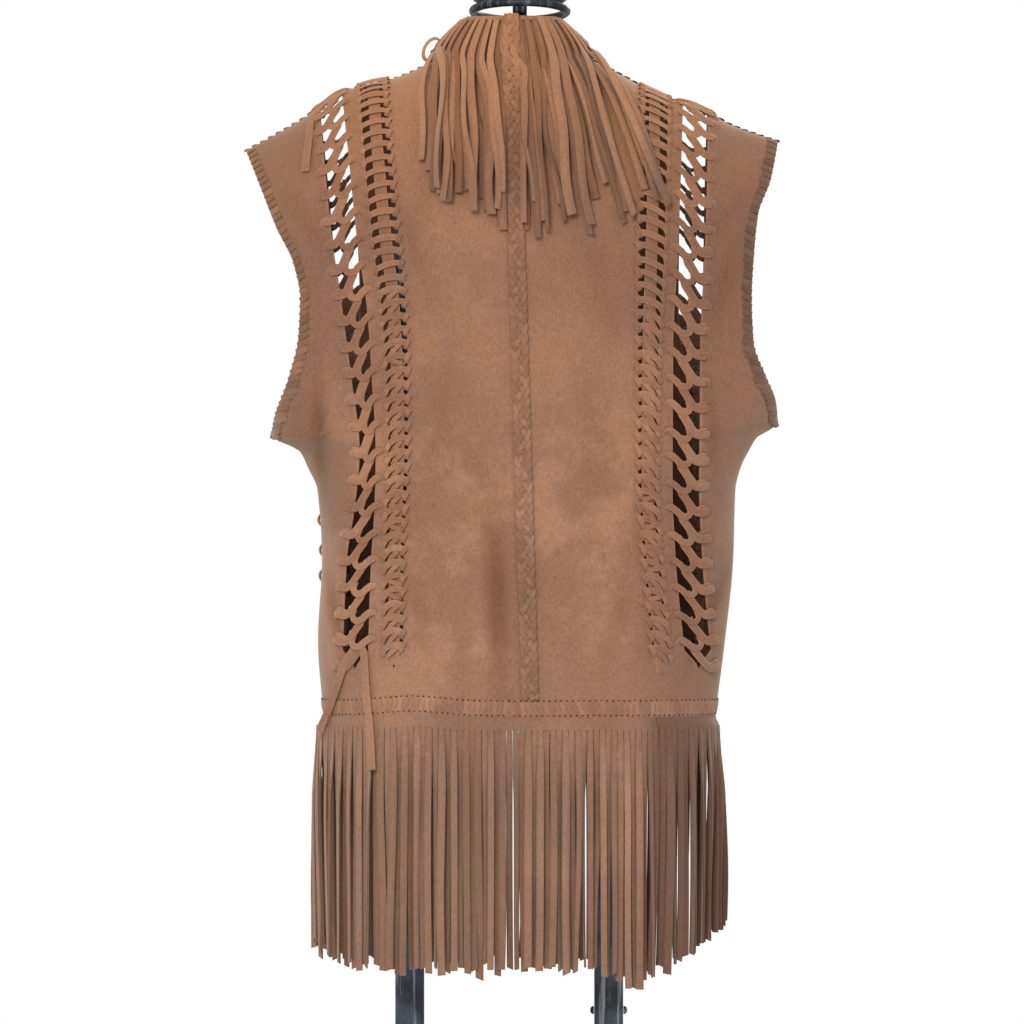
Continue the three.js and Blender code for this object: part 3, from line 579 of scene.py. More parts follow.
def rod(path: Array, radius: Array | float, corners: int = 14, closed: bool = False) -> MeshPart:
    """A round rod along a path, with a closed end at each side or joined into a ring.

    Its rings are circles in the plane across the path, framed by one fixed direction.

    Args:
        path: points, stations by three.
        radius: radius, a number or one for each station.
        corners: sides of the ring.
        closed: whether the last station joins the first.

    Returns:
        The rod.
    """
    if closed:
        ahead = unit(np.roll(path, -1, axis=0) - np.roll(path, 1, axis=0))
    else:
        ahead = unit(np.gradient(path, axis=0))
    spread = path.max(axis=0) - path.min(axis=0)
    fixed = np.eye(3)[int(np.argmin(spread))]
    side = unit(np.cross(ahead, fixed))
    over = np.cross(side, ahead)
    angle = np.linspace(0, 2 * math.pi, corners, endpoint=False)[None, :, None]
    wide = np.broadcast_to(np.asarray(radius, dtype=float), len(path))[:, None, None]
    ring = path[:, None] + wide * (side[:, None] * np.cos(angle) + over[:, None] * np.sin(angle))
    spot = np.arange(len(path) * corners).reshape(len(path), corners)
    if closed:
        spot = np.concatenate([spot, spot[:1]])
    quads = [skin(spot)]
    if not closed:
        k = np.arange(1, corners // 2)
        fan = np.stack([k - 1, k, corners - 1 - k, (corners - k) % corners], -1)
        quads += [spot[0][fan][:, ::-1], spot[-1][fan]]
    return plain(ring, np.concatenate(quads))


def slab(wide: float, deep: float, thick: float, corner: float, bevel: float,
         centre: tuple[float, float, float], ridge: float = 0.0) -> MeshPart:
    """A plate or bar with rounded corners and softened upper and lower edges.

    Its outline is a rounded rectangle, drawn in by the bevel at the top and bottom rings and
    closed to its middle; ridge raises a weld line along the middle of its two long faces.

    Args:
        wide: size along X.
        deep: size along Y.
        thick: size along Z.
        corner: radius of the four corners.
        bevel: how far the upper and lower edges are rounded.
        centre: middle of its foot.
        ridge: height of the weld line, or 0 for none.

    Returns:
        The slab.
    """
    turn = np.linspace(0, math.pi / 2, 7)
    arcs = np.concatenate([turn + k * math.pi / 2 for k in range(4)])
    quadrant = np.repeat(np.arange(4), len(turn))
    signs = np.array([(1, 1), (-1, 1), (-1, -1), (1, -1)])[quadrant]
    core = signs * np.array([wide / 2 - corner, deep / 2 - corner])
    outline = core + corner * np.stack([np.cos(arcs), np.sin(arcs)], -1)
    if ridge > 0:
        bead = np.array([(0.11, 0.0), (0.05, 1.0), (-0.05, 1.0), (-0.11, 0.0)])
        top = np.stack([bead[:, 0] * wide, deep / 2 + bead[:, 1] * ridge], -1)
        half = 2 * len(turn)
        outline = np.concatenate([outline[:len(turn)], top, outline[len(turn):half + len(turn)],
                                  -top, outline[half + len(turn):]])
    inset = np.array([bevel, bevel * 0.3, 0, 0, bevel * 0.3, bevel])
    rise = np.array([0, bevel * 0.3, bevel, thick - bevel, thick - bevel * 0.3, thick])
    shrink = 1 - inset[:, None, None] / np.array([wide / 2, deep / 2])
    flat = outline[None] * shrink
    rings = np.concatenate([flat, np.broadcast_to(rise[:, None, None], flat.shape[:2] + (1,))], -1)
    middle = rings[[0, -1]] * np.array([0, 0, 1])
    stack = np.concatenate([middle[:1], rings, middle[1:]]) + np.asarray(centre)
    spot = np.arange(stack.shape[0] * stack.shape[1]).reshape(stack.shape[:2])
    return plain(stack, skin(spot))


# ---- shader maths ----


class Wire:
    """A socket of a material's nodes, or a number, that takes ordinary arithmetic."""

    def __init__(self, nodes: "Nodes", socket: "bpy.types.NodeSocket | float") -> None:
        """Keeps the socket with the tree that new Math nodes go into."""
        self.nodes = nodes
        self.socket = socket

    def _maths(self, operation: str, first: object, second: object) -> "Wire":
        """Adds a Math node and gives its output."""
        return self.nodes.add("ShaderNodeMath", {"operation": operation}, {0: first, 1: second})

    def __add__(self, other: object) -> "Wire":
        """Sum of two values."""
        return self._maths("ADD", self, other)

    def __radd__(self, other: object) -> "Wire":
        """Sum with a number on the left."""
        return self._maths("ADD", other, self)

    def __sub__(self, other: object) -> "Wire":
        """Difference of two values."""
        return self._maths("SUBTRACT", self, other)

    def __rsub__(self, other: object) -> "Wire":
        """Difference from a number on the left."""
        return self._maths("SUBTRACT", other, self)

    def __mul__(self, other: object) -> "Wire":
        """Product of two values."""
        return self._maths("MULTIPLY", self, other)


class Nodes:
    """Builds one material's nodes."""

    def __init__(self, name: str) -> None:
        """Starts an empty material.

        Args:
            name: the material's name.
        """
        self.material = bpy.data.materials.new(name)
        self.material.use_nodes = True
        self.tree = self.material.node_tree
        self.tree.nodes.clear()

    def add(self, kind: str, settings: dict | None = None, inputs: dict | None = None,
            output: int | str = 0) -> Wire:
        """Adds one node.

        Args:
            kind: the node's type.
            settings: its properties, set before its sockets.
            inputs: values or wires for its sockets, by name or number.
            output: the output that is given back.

        Returns:
            A wire from that output.
        """
        node = self.tree.nodes.new(kind)
        for key, value in (settings or {}).items():
            if key == "stops":
                self._set_stops(node, value)
            else:
                setattr(node, key, value)
        for key, value in (inputs or {}).items():
            if isinstance(value, Wire):
                self.tree.links.new(value.socket, node.inputs[key])
            else:
                node.inputs[key].default_value = value
        return Wire(self, node.outputs[output] if len(node.outputs) else node)

    @staticmethod
    def _set_stops(node: bpy.types.Node, stops: Sequence[tuple[float, float]]) -> None:
        """Sets a ramp's stops as pairs of place and grey value."""
        elements = node.color_ramp.elements
        while len(elements) < len(stops):
            elements.new(0.5)
        for element, (place, grey) in zip(elements, stops):
            element.position = place
            element.color = (grey, grey, grey, 1)

    def place(self) -> Wire:
        """Object coordinates, in metres."""
        return self.add("ShaderNodeTexCoord", output="Object")

    def along(self, axis: str) -> Wire:
        """One object coordinate, in metres: X to the wearer's right, Z up from the floor."""
        return self.add("ShaderNodeSeparateXYZ", inputs={0: self.place()}, output=axis)

    def point_value(self, name: str) -> Wire:
        """One of the mesh's own point values."""
        return self.add("ShaderNodeAttribute", {"attribute_name": name}, output="Fac")

    def noise(self, scale: float, detail: float = 3.0, stretch: tuple = (1, 1, 1)) -> Wire:
        """Soft noise at scale features a metre, drawn out by stretch."""
        where = self.add("ShaderNodeMapping", inputs={"Vector": self.place(), "Scale": stretch})
        return self.add("ShaderNodeTexNoise", inputs={
            "Vector": where, "Scale": scale, "Detail": detail, "Roughness": 0.55})

    def ramp(self, value: Wire, stops: Sequence[tuple[float, float]]) -> Wire:
        """A value led through grey stops."""
        return self.add("ShaderNodeValToRGB", {"stops": stops}, {0: value})

    def held(self, value: Wire) -> Wire:
        """A value held between 0 and 1."""
        return self.ramp(value, [(0.0, 0.0), (1.0, 1.0)])

    def blend(self, share: Wire | float, first: object, second: object,
              mode: str = "MIX") -> Wire:
        """Mixes two colours."""
        return self.add("ShaderNodeMix", {"data_type": "RGBA", "blend_type": mode},
                        {0: share, 6: first, 7: second}, output=2)

    def bump(self, height: Wire, distance: float, strength: float,
             under: Wire | None = None) -> Wire:
        """Turns a height into a normal, distance in metres."""
        inputs = {"Height": height, "Distance": distance, "Strength": strength}
        if under is not None:
            inputs["Normal"] = under
        return self.add("ShaderNodeBump", inputs=inputs)

    def finish(self, inputs: dict) -> bpy.types.Material:
        """Closes the tree with a Principled shader that has these inputs."""
        shader = self.add("ShaderNodeBsdfPrincipled", inputs=inputs)
        self.add("ShaderNodeOutputMaterial", inputs={"Surface": shader})
        return self.material


def paint(red: int, green: int, blue: int) -> tuple[float, float, float, float]:
    """A display colour from 0 to 255 as the linear colour that shaders take."""
    display = np.array([red, green, blue]) / 255
    low = display / 12.92
    high = ((display + 0.055) / 1.055) ** 2.4
    return (*(float(v) for v in np.where(display <= 0.04045, low, high)), 1.0)


@dataclass(frozen=True)
class SuedeFinish:
    """Brushed suede: cloudy shades, a fine upright nap and a dusty sheen, with painted shade on the
    sides, chest and creases and painted light on the shoulders.
    """

    name: str
    shade: tuple = paint(124, 88, 68)
    dark: tuple = paint(99, 68, 52)
    pale: tuple = paint(143, 106, 84)
    warm: tuple = paint(149, 100, 65)
    dusty: tuple = paint(126, 94, 77)
    edge: tuple = paint(151, 113, 86)
    edge_share: float = 0.35
    warm_lit_from: float = 0.95      # heights in metres between which the warm shade sets in: partly the suede's own orange, partly painted light from above
    warm_lit_to: float = 1.13
    chest_shade_from: float = 0.76     # height above which the chest is darker, a painted shade
    pale_below: float = 0.86
    dusty_below: float = 0.70
    dark_amount: float = 0.66
    warm_clouds: float = 0.35
    chest_shade_amount: float = 0.3
    dusty_amount: float = 0.6
    painted_left_shade: float = 0.0      # painted shade: how far the wearer's left side is darkened, as if turned from the light
    side_from: float = 0.10      # distance from the middle where that starts
    side_slope: float = 12.5     # and how soon it is at its full strength
    painted_right_shade: float = 0.0      # and the right side
    plus_from: float = 0.12
    tone_range: float = 0.0
    richness: float = 0.1        # how much the darker tones gain in colour

    def material(self) -> bpy.types.Material:
        """Makes the material."""
        nodes = Nodes(self.name)
        wide = nodes.noise(5.0, 2.0, (1, 1, 0.8))
        clouds = nodes.noise(13.0, 3.0)
        blotches = nodes.noise(90.0, 3.0)
        nap = nodes.noise(950.0, 2.0, (1.0, 1.0, 0.7))
        brushed = nodes.noise(430.0, 3.0, (1.0, 1.0, 0.7))
        height = nodes.along("Z")
        darker = nodes.ramp(wide * 0.6 + clouds * 0.3 + blotches * 0.1, [(0.36, 1.0), (0.54, 0.0)])
        paler = nodes.ramp(wide * 0.45 + clouds * 0.4 + blotches * 0.15, [(0.48, 0.0), (0.64, 1.0)])
        colour = nodes.blend(darker * self.dark_amount, self.shade, self.dark)
        low_down = nodes.held((self.pale_below - height) * 6.0)
        colour = nodes.blend(paler * (0.2 + low_down * 0.5), colour, self.pale)
        tanned = nodes.ramp(clouds * 0.5 + wide * 0.3 + blotches * 0.2, [(0.5, 0.0), (0.6, 1.0)])
        colour = nodes.blend(tanned * self.warm_clouds, colour, self.warm)
        # Partly painted light: the shoulders grow warmer and lighter towards the top, the suede's
        # own orange and a painted light from above.
        rise = nodes.held((height - self.warm_lit_from) * (1 / (self.warm_lit_to - self.warm_lit_from)))
        colour = nodes.blend(rise * (0.62 + clouds * 0.4), colour, self.warm)
        # Painted shade: the chest below the shoulders is darkened towards the dark colour.
        chest = nodes.held((height - self.chest_shade_from) * 8.0) * (1 - rise)
        colour = nodes.blend(chest * self.chest_shade_amount, colour, self.dark)
        fall = nodes.held((self.dusty_below - height) * 5.0)
        colour = nodes.blend(fall * self.dusty_amount, colour, self.dusty)
        # Painted shade: both sides are darkened towards the dark colour, as if turned from the
        # lamp.
        if self.painted_left_shade > 0:
            left = nodes.held((nodes.along("X") + self.side_from) * -self.side_slope)
            right = nodes.held((nodes.along("X") - self.plus_from) * 14.0)
            iron_wear_and_side_shade = left * self.painted_left_shade + right * self.painted_right_shade
            colour = nodes.blend(iron_wear_and_side_shade, colour, self.dark)
        # The tone: on the panels, painted shade and light of the creases; on the laces and strands,
        # each one's own shade, with painted shade and light on the set-back and set-forward fringe
        # strands.
        if self.tone_range > 0:
            tone = (nodes.point_value("tone") - 0.5) * self.tone_range
            colour = nodes.add("ShaderNodeHueSaturation", inputs={
                "Color": colour, "Value": 1.0 + tone, "Saturation": 1.0 - tone * self.richness})
        grain = nodes.ramp(nap * 0.5 + brushed * 0.5, [(0.32, 0.76), (0.68, 1.2)])
        colour = nodes.blend(1.0, colour, grain, "MULTIPLY")
        rim = nodes.point_value("rim")
        colour = nodes.blend(rim * self.edge_share, colour, self.edge)
        normal = nodes.bump(blotches, 0.0016, 0.35)
        normal = nodes.bump(nap * 0.6 + brushed * 0.4, 0.0005, 0.6, normal)
        return nodes.finish({
            "Base Color": colour, "Roughness": 0.86 + nap * 0.14, "Normal": normal,
            "Sheen Weight": 0.22, "Sheen Roughness": 0.55,
            "Sheen Tint": (0.95, 0.78, 0.62, 1), "Specular IOR Level": 0.18})


@dataclass(frozen=True)
class IronFinish:
    """Blued black iron, rubbed bare along scratches."""

    name: str
    shade: tuple = paint(62, 70, 82)
    bare: tuple = paint(158, 166, 174)
    soot: tuple = paint(30, 34, 40)

    def material(self) -> bpy.types.Material:
        """Makes the material."""
        nodes = Nodes(self.name)
        clouds = nodes.noise(26.0, 4.0)
        scratches = nodes.ramp(nodes.noise(150.0, 4.0, (1.0, 1.0, 0.06)),
                               [(0.55, 0.0), (0.66, 1.0)])
        chips = nodes.ramp(nodes.noise(420.0, 3.0), [(0.62, 0.0), (0.72, 1.0)])
        colour = nodes.blend(nodes.ramp(clouds, [(0.4, 0.0), (0.6, 1.0)]), self.soot, self.shade)
        iron_wear_and_side_shade = scratches * 0.45 + chips * 0.16
        colour = nodes.blend(iron_wear_and_side_shade, colour, self.bare)
        normal = nodes.bump(clouds, 0.001, 0.4)
        normal = nodes.bump(scratches, 0.0002, 0.4, normal)
        return nodes.finish({
            "Base Color": colour, "Roughness": 0.55 - iron_wear_and_side_shade * 0.2, "Normal": normal,
            "Metallic": 0.55 + iron_wear_and_side_shade * 0.3, "Specular IOR Level": 0.5})


@dataclass(frozen=True)
class PlainFinish:
    """An even matt finish with a faint cloudiness, for the floor and for the painted shade in the
    punched holes.
    """

    name: str
    shade: tuple
    other: tuple

    def material(self) -> bpy.types.Material:
        """Makes the material."""
        nodes = Nodes(self.name)
        colour = nodes.blend(nodes.noise(30.0, 2.0), self.shade, self.other)
        return nodes.finish({"Base Color": colour, "Roughness": 0.9, "Specular IOR Level": 0.1})


# ---- making pieces ----


def linked(name: str, data: bpy.types.ID) -> bpy.types.Object:
    """Makes an object of this data in the scene."""
    made = bpy.data.objects.new(name, data)
    bpy.context.scene.collection.objects.link(made)
    return made


@dataclass
class Workshop:
    """Makes named Blender pieces and keeps the finishes."""

    cloth: WornCloth
    suede: bpy.types.Material
    lace: bpy.types.Material
    fringe: bpy.types.Material
    iron: bpy.types.Material
    coil: bpy.types.Material
    hole: bpy.types.Material

    def piece(self, name: str, part: MeshPart, material: bpy.types.Material, slot: str,
              nodes: Sequence[str] = (), crease: float = 50.0) -> bpy.types.Object:
        """Makes one piece, which rides on the root body and can stand for CAD nodes.

        Args:
            name: the piece's name.
            part: its mesh, in millimetres.
            material: its finish.
            slot: a material slot's name; not used.
            nodes: the CAD nodes that it replaces.
            crease: edges sharper than this, in degrees, stay sharp.

        Returns:
            The new object.
        """
        mesh = bpy.data.meshes.new(name)
        mesh.from_pydata((part.points * MM).tolist(), [], part.quads.tolist())
        for key, values in (("rim", part.rim), ("tone", part.tone)):
            layer = mesh.attributes.new(key, "FLOAT", "POINT")
            layer.data.foreach_set("value", values.astype(np.float32))
        mesh.polygons.foreach_set("use_smooth", np.ones(len(mesh.polygons), dtype=bool))
        mesh.set_sharp_from_angle(angle=math.radians(crease))
        mesh.materials.append(material)
        mesh.update()
        piece = linked(name, mesh)
        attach(piece, ROOT)
        if nodes:
            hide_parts(*nodes)
        log.info("%s: %d faces, in place of %s", name, len(part.quads), ", ".join(nodes) or "none")
        return piece


def sheet_size(outer: Array) -> tuple[tuple[float, float], float]:
    """Flat size of a piece of cloth from its face side, which is bent but not stretched.

    Args:
        outer: the grid of points of its face side, in millimetres.

    Returns:
        Its greatest width and length, and its area, in metres.
    """
    width = np.linalg.norm(np.diff(outer, axis=0), axis=-1).sum(axis=0).max() * MM
    length = np.linalg.norm(np.diff(outer, axis=1), axis=-1).sum(axis=1).max() * MM
    a, b = outer[1:, :-1] - outer[:-1, :-1], outer[:-1, 1:] - outer[:-1, :-1]
    area = np.linalg.norm(np.cross(a, b), axis=-1).sum() * MM * MM
    return (float(width), float(length)), float(area)


@dataclass
class PanelGrid:
    """Rows and edges of the panels: fixed heights below the arms, then up the shoulder."""

    cloth: WornCloth
    levels: tuple = (PANEL_FOOT - 5, 588, 594, 606, 665, 727, 770, 784, 797, 807.5)
    chest_rows: int = 4
    turn_rows: int = 4
    steps: tuple = (5, 2, 3, 12, 12, 9, 3, 3, 2, 10, 10, 10, 10, 8, 8, 8, 8)
    rounds: int = 14             # rounds of the search for a point's place and height

    def rows(self) -> Array:
        """Row numbers of a fine panel, from its foot up to the shoulder."""
        spans = [np.linspace(j, j + 1, n, endpoint=False) for j, n in enumerate(self.steps)]
        return np.concatenate([*spans, [len(self.steps)]])

    def row_height(self, row: Array, x: Array, top: Array) -> Array:
        """Height of a row over x: level, then even steps up the chest, then an arc."""
        last = len(self.levels) - 1
        level = np.interp(row, np.arange(last + 1), self.levels)
        ridge = self.cloth.shoulder(x)
        radius = self.cloth.shoulder_round
        chest = np.clip((row - last) / self.chest_rows, 0, 1)
        straight = self.levels[-1] + (ridge - radius - self.levels[-1]) * chest
        first = np.arccos(np.clip(1 - (ridge - top) / radius, 0, 1))
        t = np.clip((row - last - self.chest_rows) / self.turn_rows, 0, 1)
        angle = math.pi / 2 + (first - math.pi / 2) * t
        turned = ridge - radius * (1 - np.cos(angle))
        return np.where(row <= last, level, np.where(t > 0, turned, straight))

    def spots(self, face: Face, near: EdgeLine, far: EdgeLine, share: Array,
              row: Array) -> tuple[Array, Array]:
        """Places x and z of grid points, at a share of the way round from near to far.

        Args:
            face: back or front.
            near: the edge nearer the middle, by height.
            far: the edge nearer the side, by height.
            share: share of the way from near to far.
            row: row numbers, in a shape that goes with share.

        Returns:
            The arrays x and z.
        """
        share, row = np.broadcast_arrays(share, row)
        z = np.full(share.shape, FIRST_HEIGHT)
        x = near(z) * (1 - share) + far(z) * share
        for _ in range(self.rounds):
            z = self.row_height(row, x, self.cloth.top_height(face, x))
            start = self.cloth.section_angle(near(z), z)
            end = self.cloth.section_angle(far(z), z)
            x = self.cloth.section_place(start + (end - start) * share, z)
        return x, z

    def opened(self, half: Array, z: Array) -> Array:
        """Half width of a slit that is shut at its foot and then opens in full."""
        return half * np.interp(z, self.levels[1:4], (0, 0.2, 1))

    def cut(self, z: Array) -> Array:
        """0 below the slits, where the panels are one piece of suede, and 1 along them."""
        return np.interp(z, self.levels[1:3], (0, 1))


@dataclass
class SidePattern:
    """Cutting lines of one side of the vest."""

    name: str
    sign: int
    lacing: dict
    armhole: dict
    front_column: str
    underarm: float
    cloth: WornCloth
    grid: PanelGrid
    front_open: float = 11.0
    draw_heights: tuple = (800, 900)   # heights between which the front's opening draws
    drawn_share: float = 0.45          # together, and the share that is left below them

    def __post_init__(self) -> None:
        """Draws the curves through the tables."""
        self.narrow, self.band, self.wide, self.open = (
            Rail(self.lacing, column) for column in ("narrow", "band", "wide", "open"))
        self.arm = Rail(self.armhole, "across")
        self.front_wide = Rail(FRONT_LACING, self.front_column)

    def outer(self, z: Array) -> Array:
        """Side seam below the arm and armhole edge above it."""
        seam = self.cloth.half_width(np.full(np.shape(z), float(self.sign)), z)
        return self.sign * np.where(z <= self.underarm, seam, self.arm(z))

    def open_half(self, z: Array) -> Array:
        """Half width of the front's laced opening, which draws together below the arms."""
        return self.front_open * np.interp(z, self.draw_heights, (self.drawn_share, 1.0))

    def edge(self, middle: EdgeLine, half: EdgeLine, way: int) -> EdgeLine:
        """Edge of a panel along a laced seam, on its inner (-1) or outer (1) side."""
        return lambda z: self.sign * (
            middle(z) + way * (self.grid.opened(half(z), z) + SEAM * (self.grid.cut(z) - 0.5)))

    def centre(self, z: Array) -> Array:
        """Edge along the centre back seam."""
        return self.cloth.centre_seam(z) + self.sign * SEAM / 2

    def front_edge(self, z: Array) -> Array:
        """Edge beside the front opening."""
        return self.sign * self.cloth.front_edge(z)


@dataclass
class Panels:
    """The suede panels of one side, as thin walls with softened cut edges."""

    shop: Workshop
    side: SidePattern
    cell: float = 5.5
    soft: float = 0.9            # width over which a cut edge is worn round
    border: float = 2.6          # width of the paler border, in those
    inside_painted_shade: float = 0.08    # painted shade: the inside is darker than the face at 0.5, as if unlit

    def build(self) -> list[bpy.types.Object]:
        """Builds the back's three panels and the front's two."""
        s = self.side
        return [
            self.panel("back_centre", Face.BACK, s.centre, s.edge(s.narrow, s.band, -1), 108),
            self.panel("back_strip", Face.BACK, s.edge(s.narrow, s.band, 1),
                       s.edge(s.wide, s.open, -1), 16),
            self.panel("back_side", Face.BACK, s.edge(s.wide, s.open, 1), s.outer, 78),
            self.panel("front_inner", Face.FRONT, s.front_edge,
                       s.edge(s.front_wide, s.open_half, -1), 140),
            self.panel("front_side", Face.FRONT, s.edge(s.front_wide, s.open_half, 1),
                       s.outer, 74),
        ]

    def panel(self, name: str, face: Face, near: EdgeLine, far: EdgeLine,
              width: float) -> bpy.types.Object:
        """One panel: columns at even shares, closer at both edges, whose lift falls there.

        Args:
            name: the panel's name without its side.
            face: back or front.
            near: edge nearer the middle.
            far: edge nearer the side.
            width: its usual width, which sets the number of columns.

        Returns:
            The panel.
        """
        border = np.array([0, 0.35, 1.0, self.border]) * self.soft / width
        inner = np.linspace(border[-1], 1 - border[-1], max(int(width / self.cell), 3) + 1)
        share = np.concatenate([border[:-1], inner, 1 - border[-2::-1]])
        inwards = np.minimum(share, 1 - share)[:, None] * width / self.soft
        grid, cloth = self.side.grid, self.shop.cloth
        x, z = grid.spots(face, near, far, share[:, None], grid.rows()[None, :])
        cut = grid.cut(z)
        drop = -0.5 * (1 - np.minimum(inwards, 1)) ** 2 * cut
        outer = cloth.point(face, x, z, drop)
        under = cloth.point(face, x, z, -SUEDE - 0.6 * drop)
        rim = np.clip(1 - inwards / self.border, 0, 1) * cut
        label = f"{name}_{self.side.name}"
        part = wall(outer, under, rim, cloth.painted_crease_shade(face, x, z), self.inside_painted_shade)
        piece = self.shop.piece(f"{label}_suede", part, self.shop.suede, "suede", [label])
        flat, area = sheet_size(outer)
        return piece


@dataclass
class WideLacing:
    """Laces across a wide opening: for each repeat a hook from the inner edge, a slanted
    strap that ends on the outer edge, and a small knot there."""

    shop: Workshop
    name: str
    face: Face
    sign: int
    middle: EdgeLine
    half: EdgeLine
    repeats: int
    seed: int
    fullness: float = 1.0        # width of the straps low down, against the usual
    fullness_above: float = 1.0  # and in the upper part
    foot: float = 606.0
    crossbar_share: float = 0.46
    change_at: tuple = (0.52, 0.62)    # shares of the way up between which they change
    hook_half: float = 3.0
    slant_half: float = 3.7
    knot_half: float = 2.6
    cup: float = 0.14            # how far the laces bow out, as a share of their half width

    def place(self, across: Array, step: Array, lift: Array) -> tuple[Array, Array]:
        """Points of the opening, and the outward direction there.

        Args:
            across: distance outwards from the middle of the opening, in half widths, or
                past 1 and -1 in half widths and then millimetres.
            step: repeats up from the foot of the opening.
            lift: distance out of the cloth.

        Returns:
            The points and the cloth's normals.
        """
        cloth = self.shop.cloth
        whole = self.repeats - 1 + self.crossbar_share
        share = np.clip(1 - step / whole, 0, 1.04)
        inside = np.clip(across, -1, 1)
        return cloth.below_shoulder(
            self.face, self.sign,
            lambda z: self.middle(z) + inside * self.half(z) + (across - inside),
            lambda ridge: share * cloth.run_of(ridge - self.foot), lift)

    def course(self, stops: Sequence[tuple[float, float, float]], stations: int, draw: Array,
               half: float, first: int = 0) -> MeshPart:
        """One strap for each repeat along smooth curves through stops.

        Args:
            stops: across, step and lift along the strap.
            stations: points along each strap.
            draw: random numbers from -1 to 1, repeats by four.
            half: half width of the strap.
            first: repeat of the lowest strap.

        Returns:
            All of these straps.
        """
        (across, step, lift), share = through(stops, stations)
        draw = draw[:self.repeats - first]
        bar = np.arange(first, self.repeats)[:, None] + self.crossbar_share / 2
        jitter = 0.03 * draw[:, :1] + 0.05 * draw[:, 1:2] * (share - 0.5)
        full = np.interp(bar / self.repeats, self.change_at, (self.fullness, self.fullness_above))
        width = half * full * (1 + 0.08 * draw[:, 2:3])
        return straps(*self.place(across, bar + step + jitter, lift), width, LACE_THICK,
                      0.12 * draw[:, 3:4], 0.5 + 0.5 * draw[:, 2], self.cup)

    def build(self) -> bpy.types.Object:
        """Builds the lacing of one opening."""
        draw = draws(self.seed, 3, self.repeats + 1, 4)
        hook = self.course([
            (-1 - 5.5, 0.04, -1.2), (-1 - 5.3, 0.13, 0.8), (-1 - 2.6, 0.17, 1.9),
            (-0.95, 0.08, 2.1), (-0.60, -0.08, 2.4), (-0.25, -0.14, 2.4), (0.08, -0.05, 2.0),
            (0.22, 0.12, 0.9), (0.15, 0.32, -0.4),
        ], 30, draw[0], self.hook_half)
        slanted = self.course([
            (-0.42, 0.98, -0.4), (-0.38, 0.82, 0.4), (-0.15, 0.62, 1.2), (0.15, 0.38, 1.6),
            (0.50, 0.17, 1.5), (0.85, 0.09, 1.5), (1 + 2.0, 0.12, 2.1), (1 + 4.6, 0.15, 1.8),
            (1 + 5.7, 0.07, 0.5), (1 + 5.4, 0.0, -1.2),
        ], 30, draw[1], self.slant_half, -1)
        knot = self.course([
            (1 + 5.0, 0.24, -1.1), (1 + 4.0, 0.30, 0.7), (1 + 0.8, 0.28, 1.5),
            (0.82, 0.20, 1.0), (0.70, 0.08, -0.3),
        ], 16, draw[2], self.knot_half, -1)
        part = joined([hook, slanted, knot])
        return self.shop.piece(f"{self.name}_laces", part, self.shop.lace, "lace", [self.name])


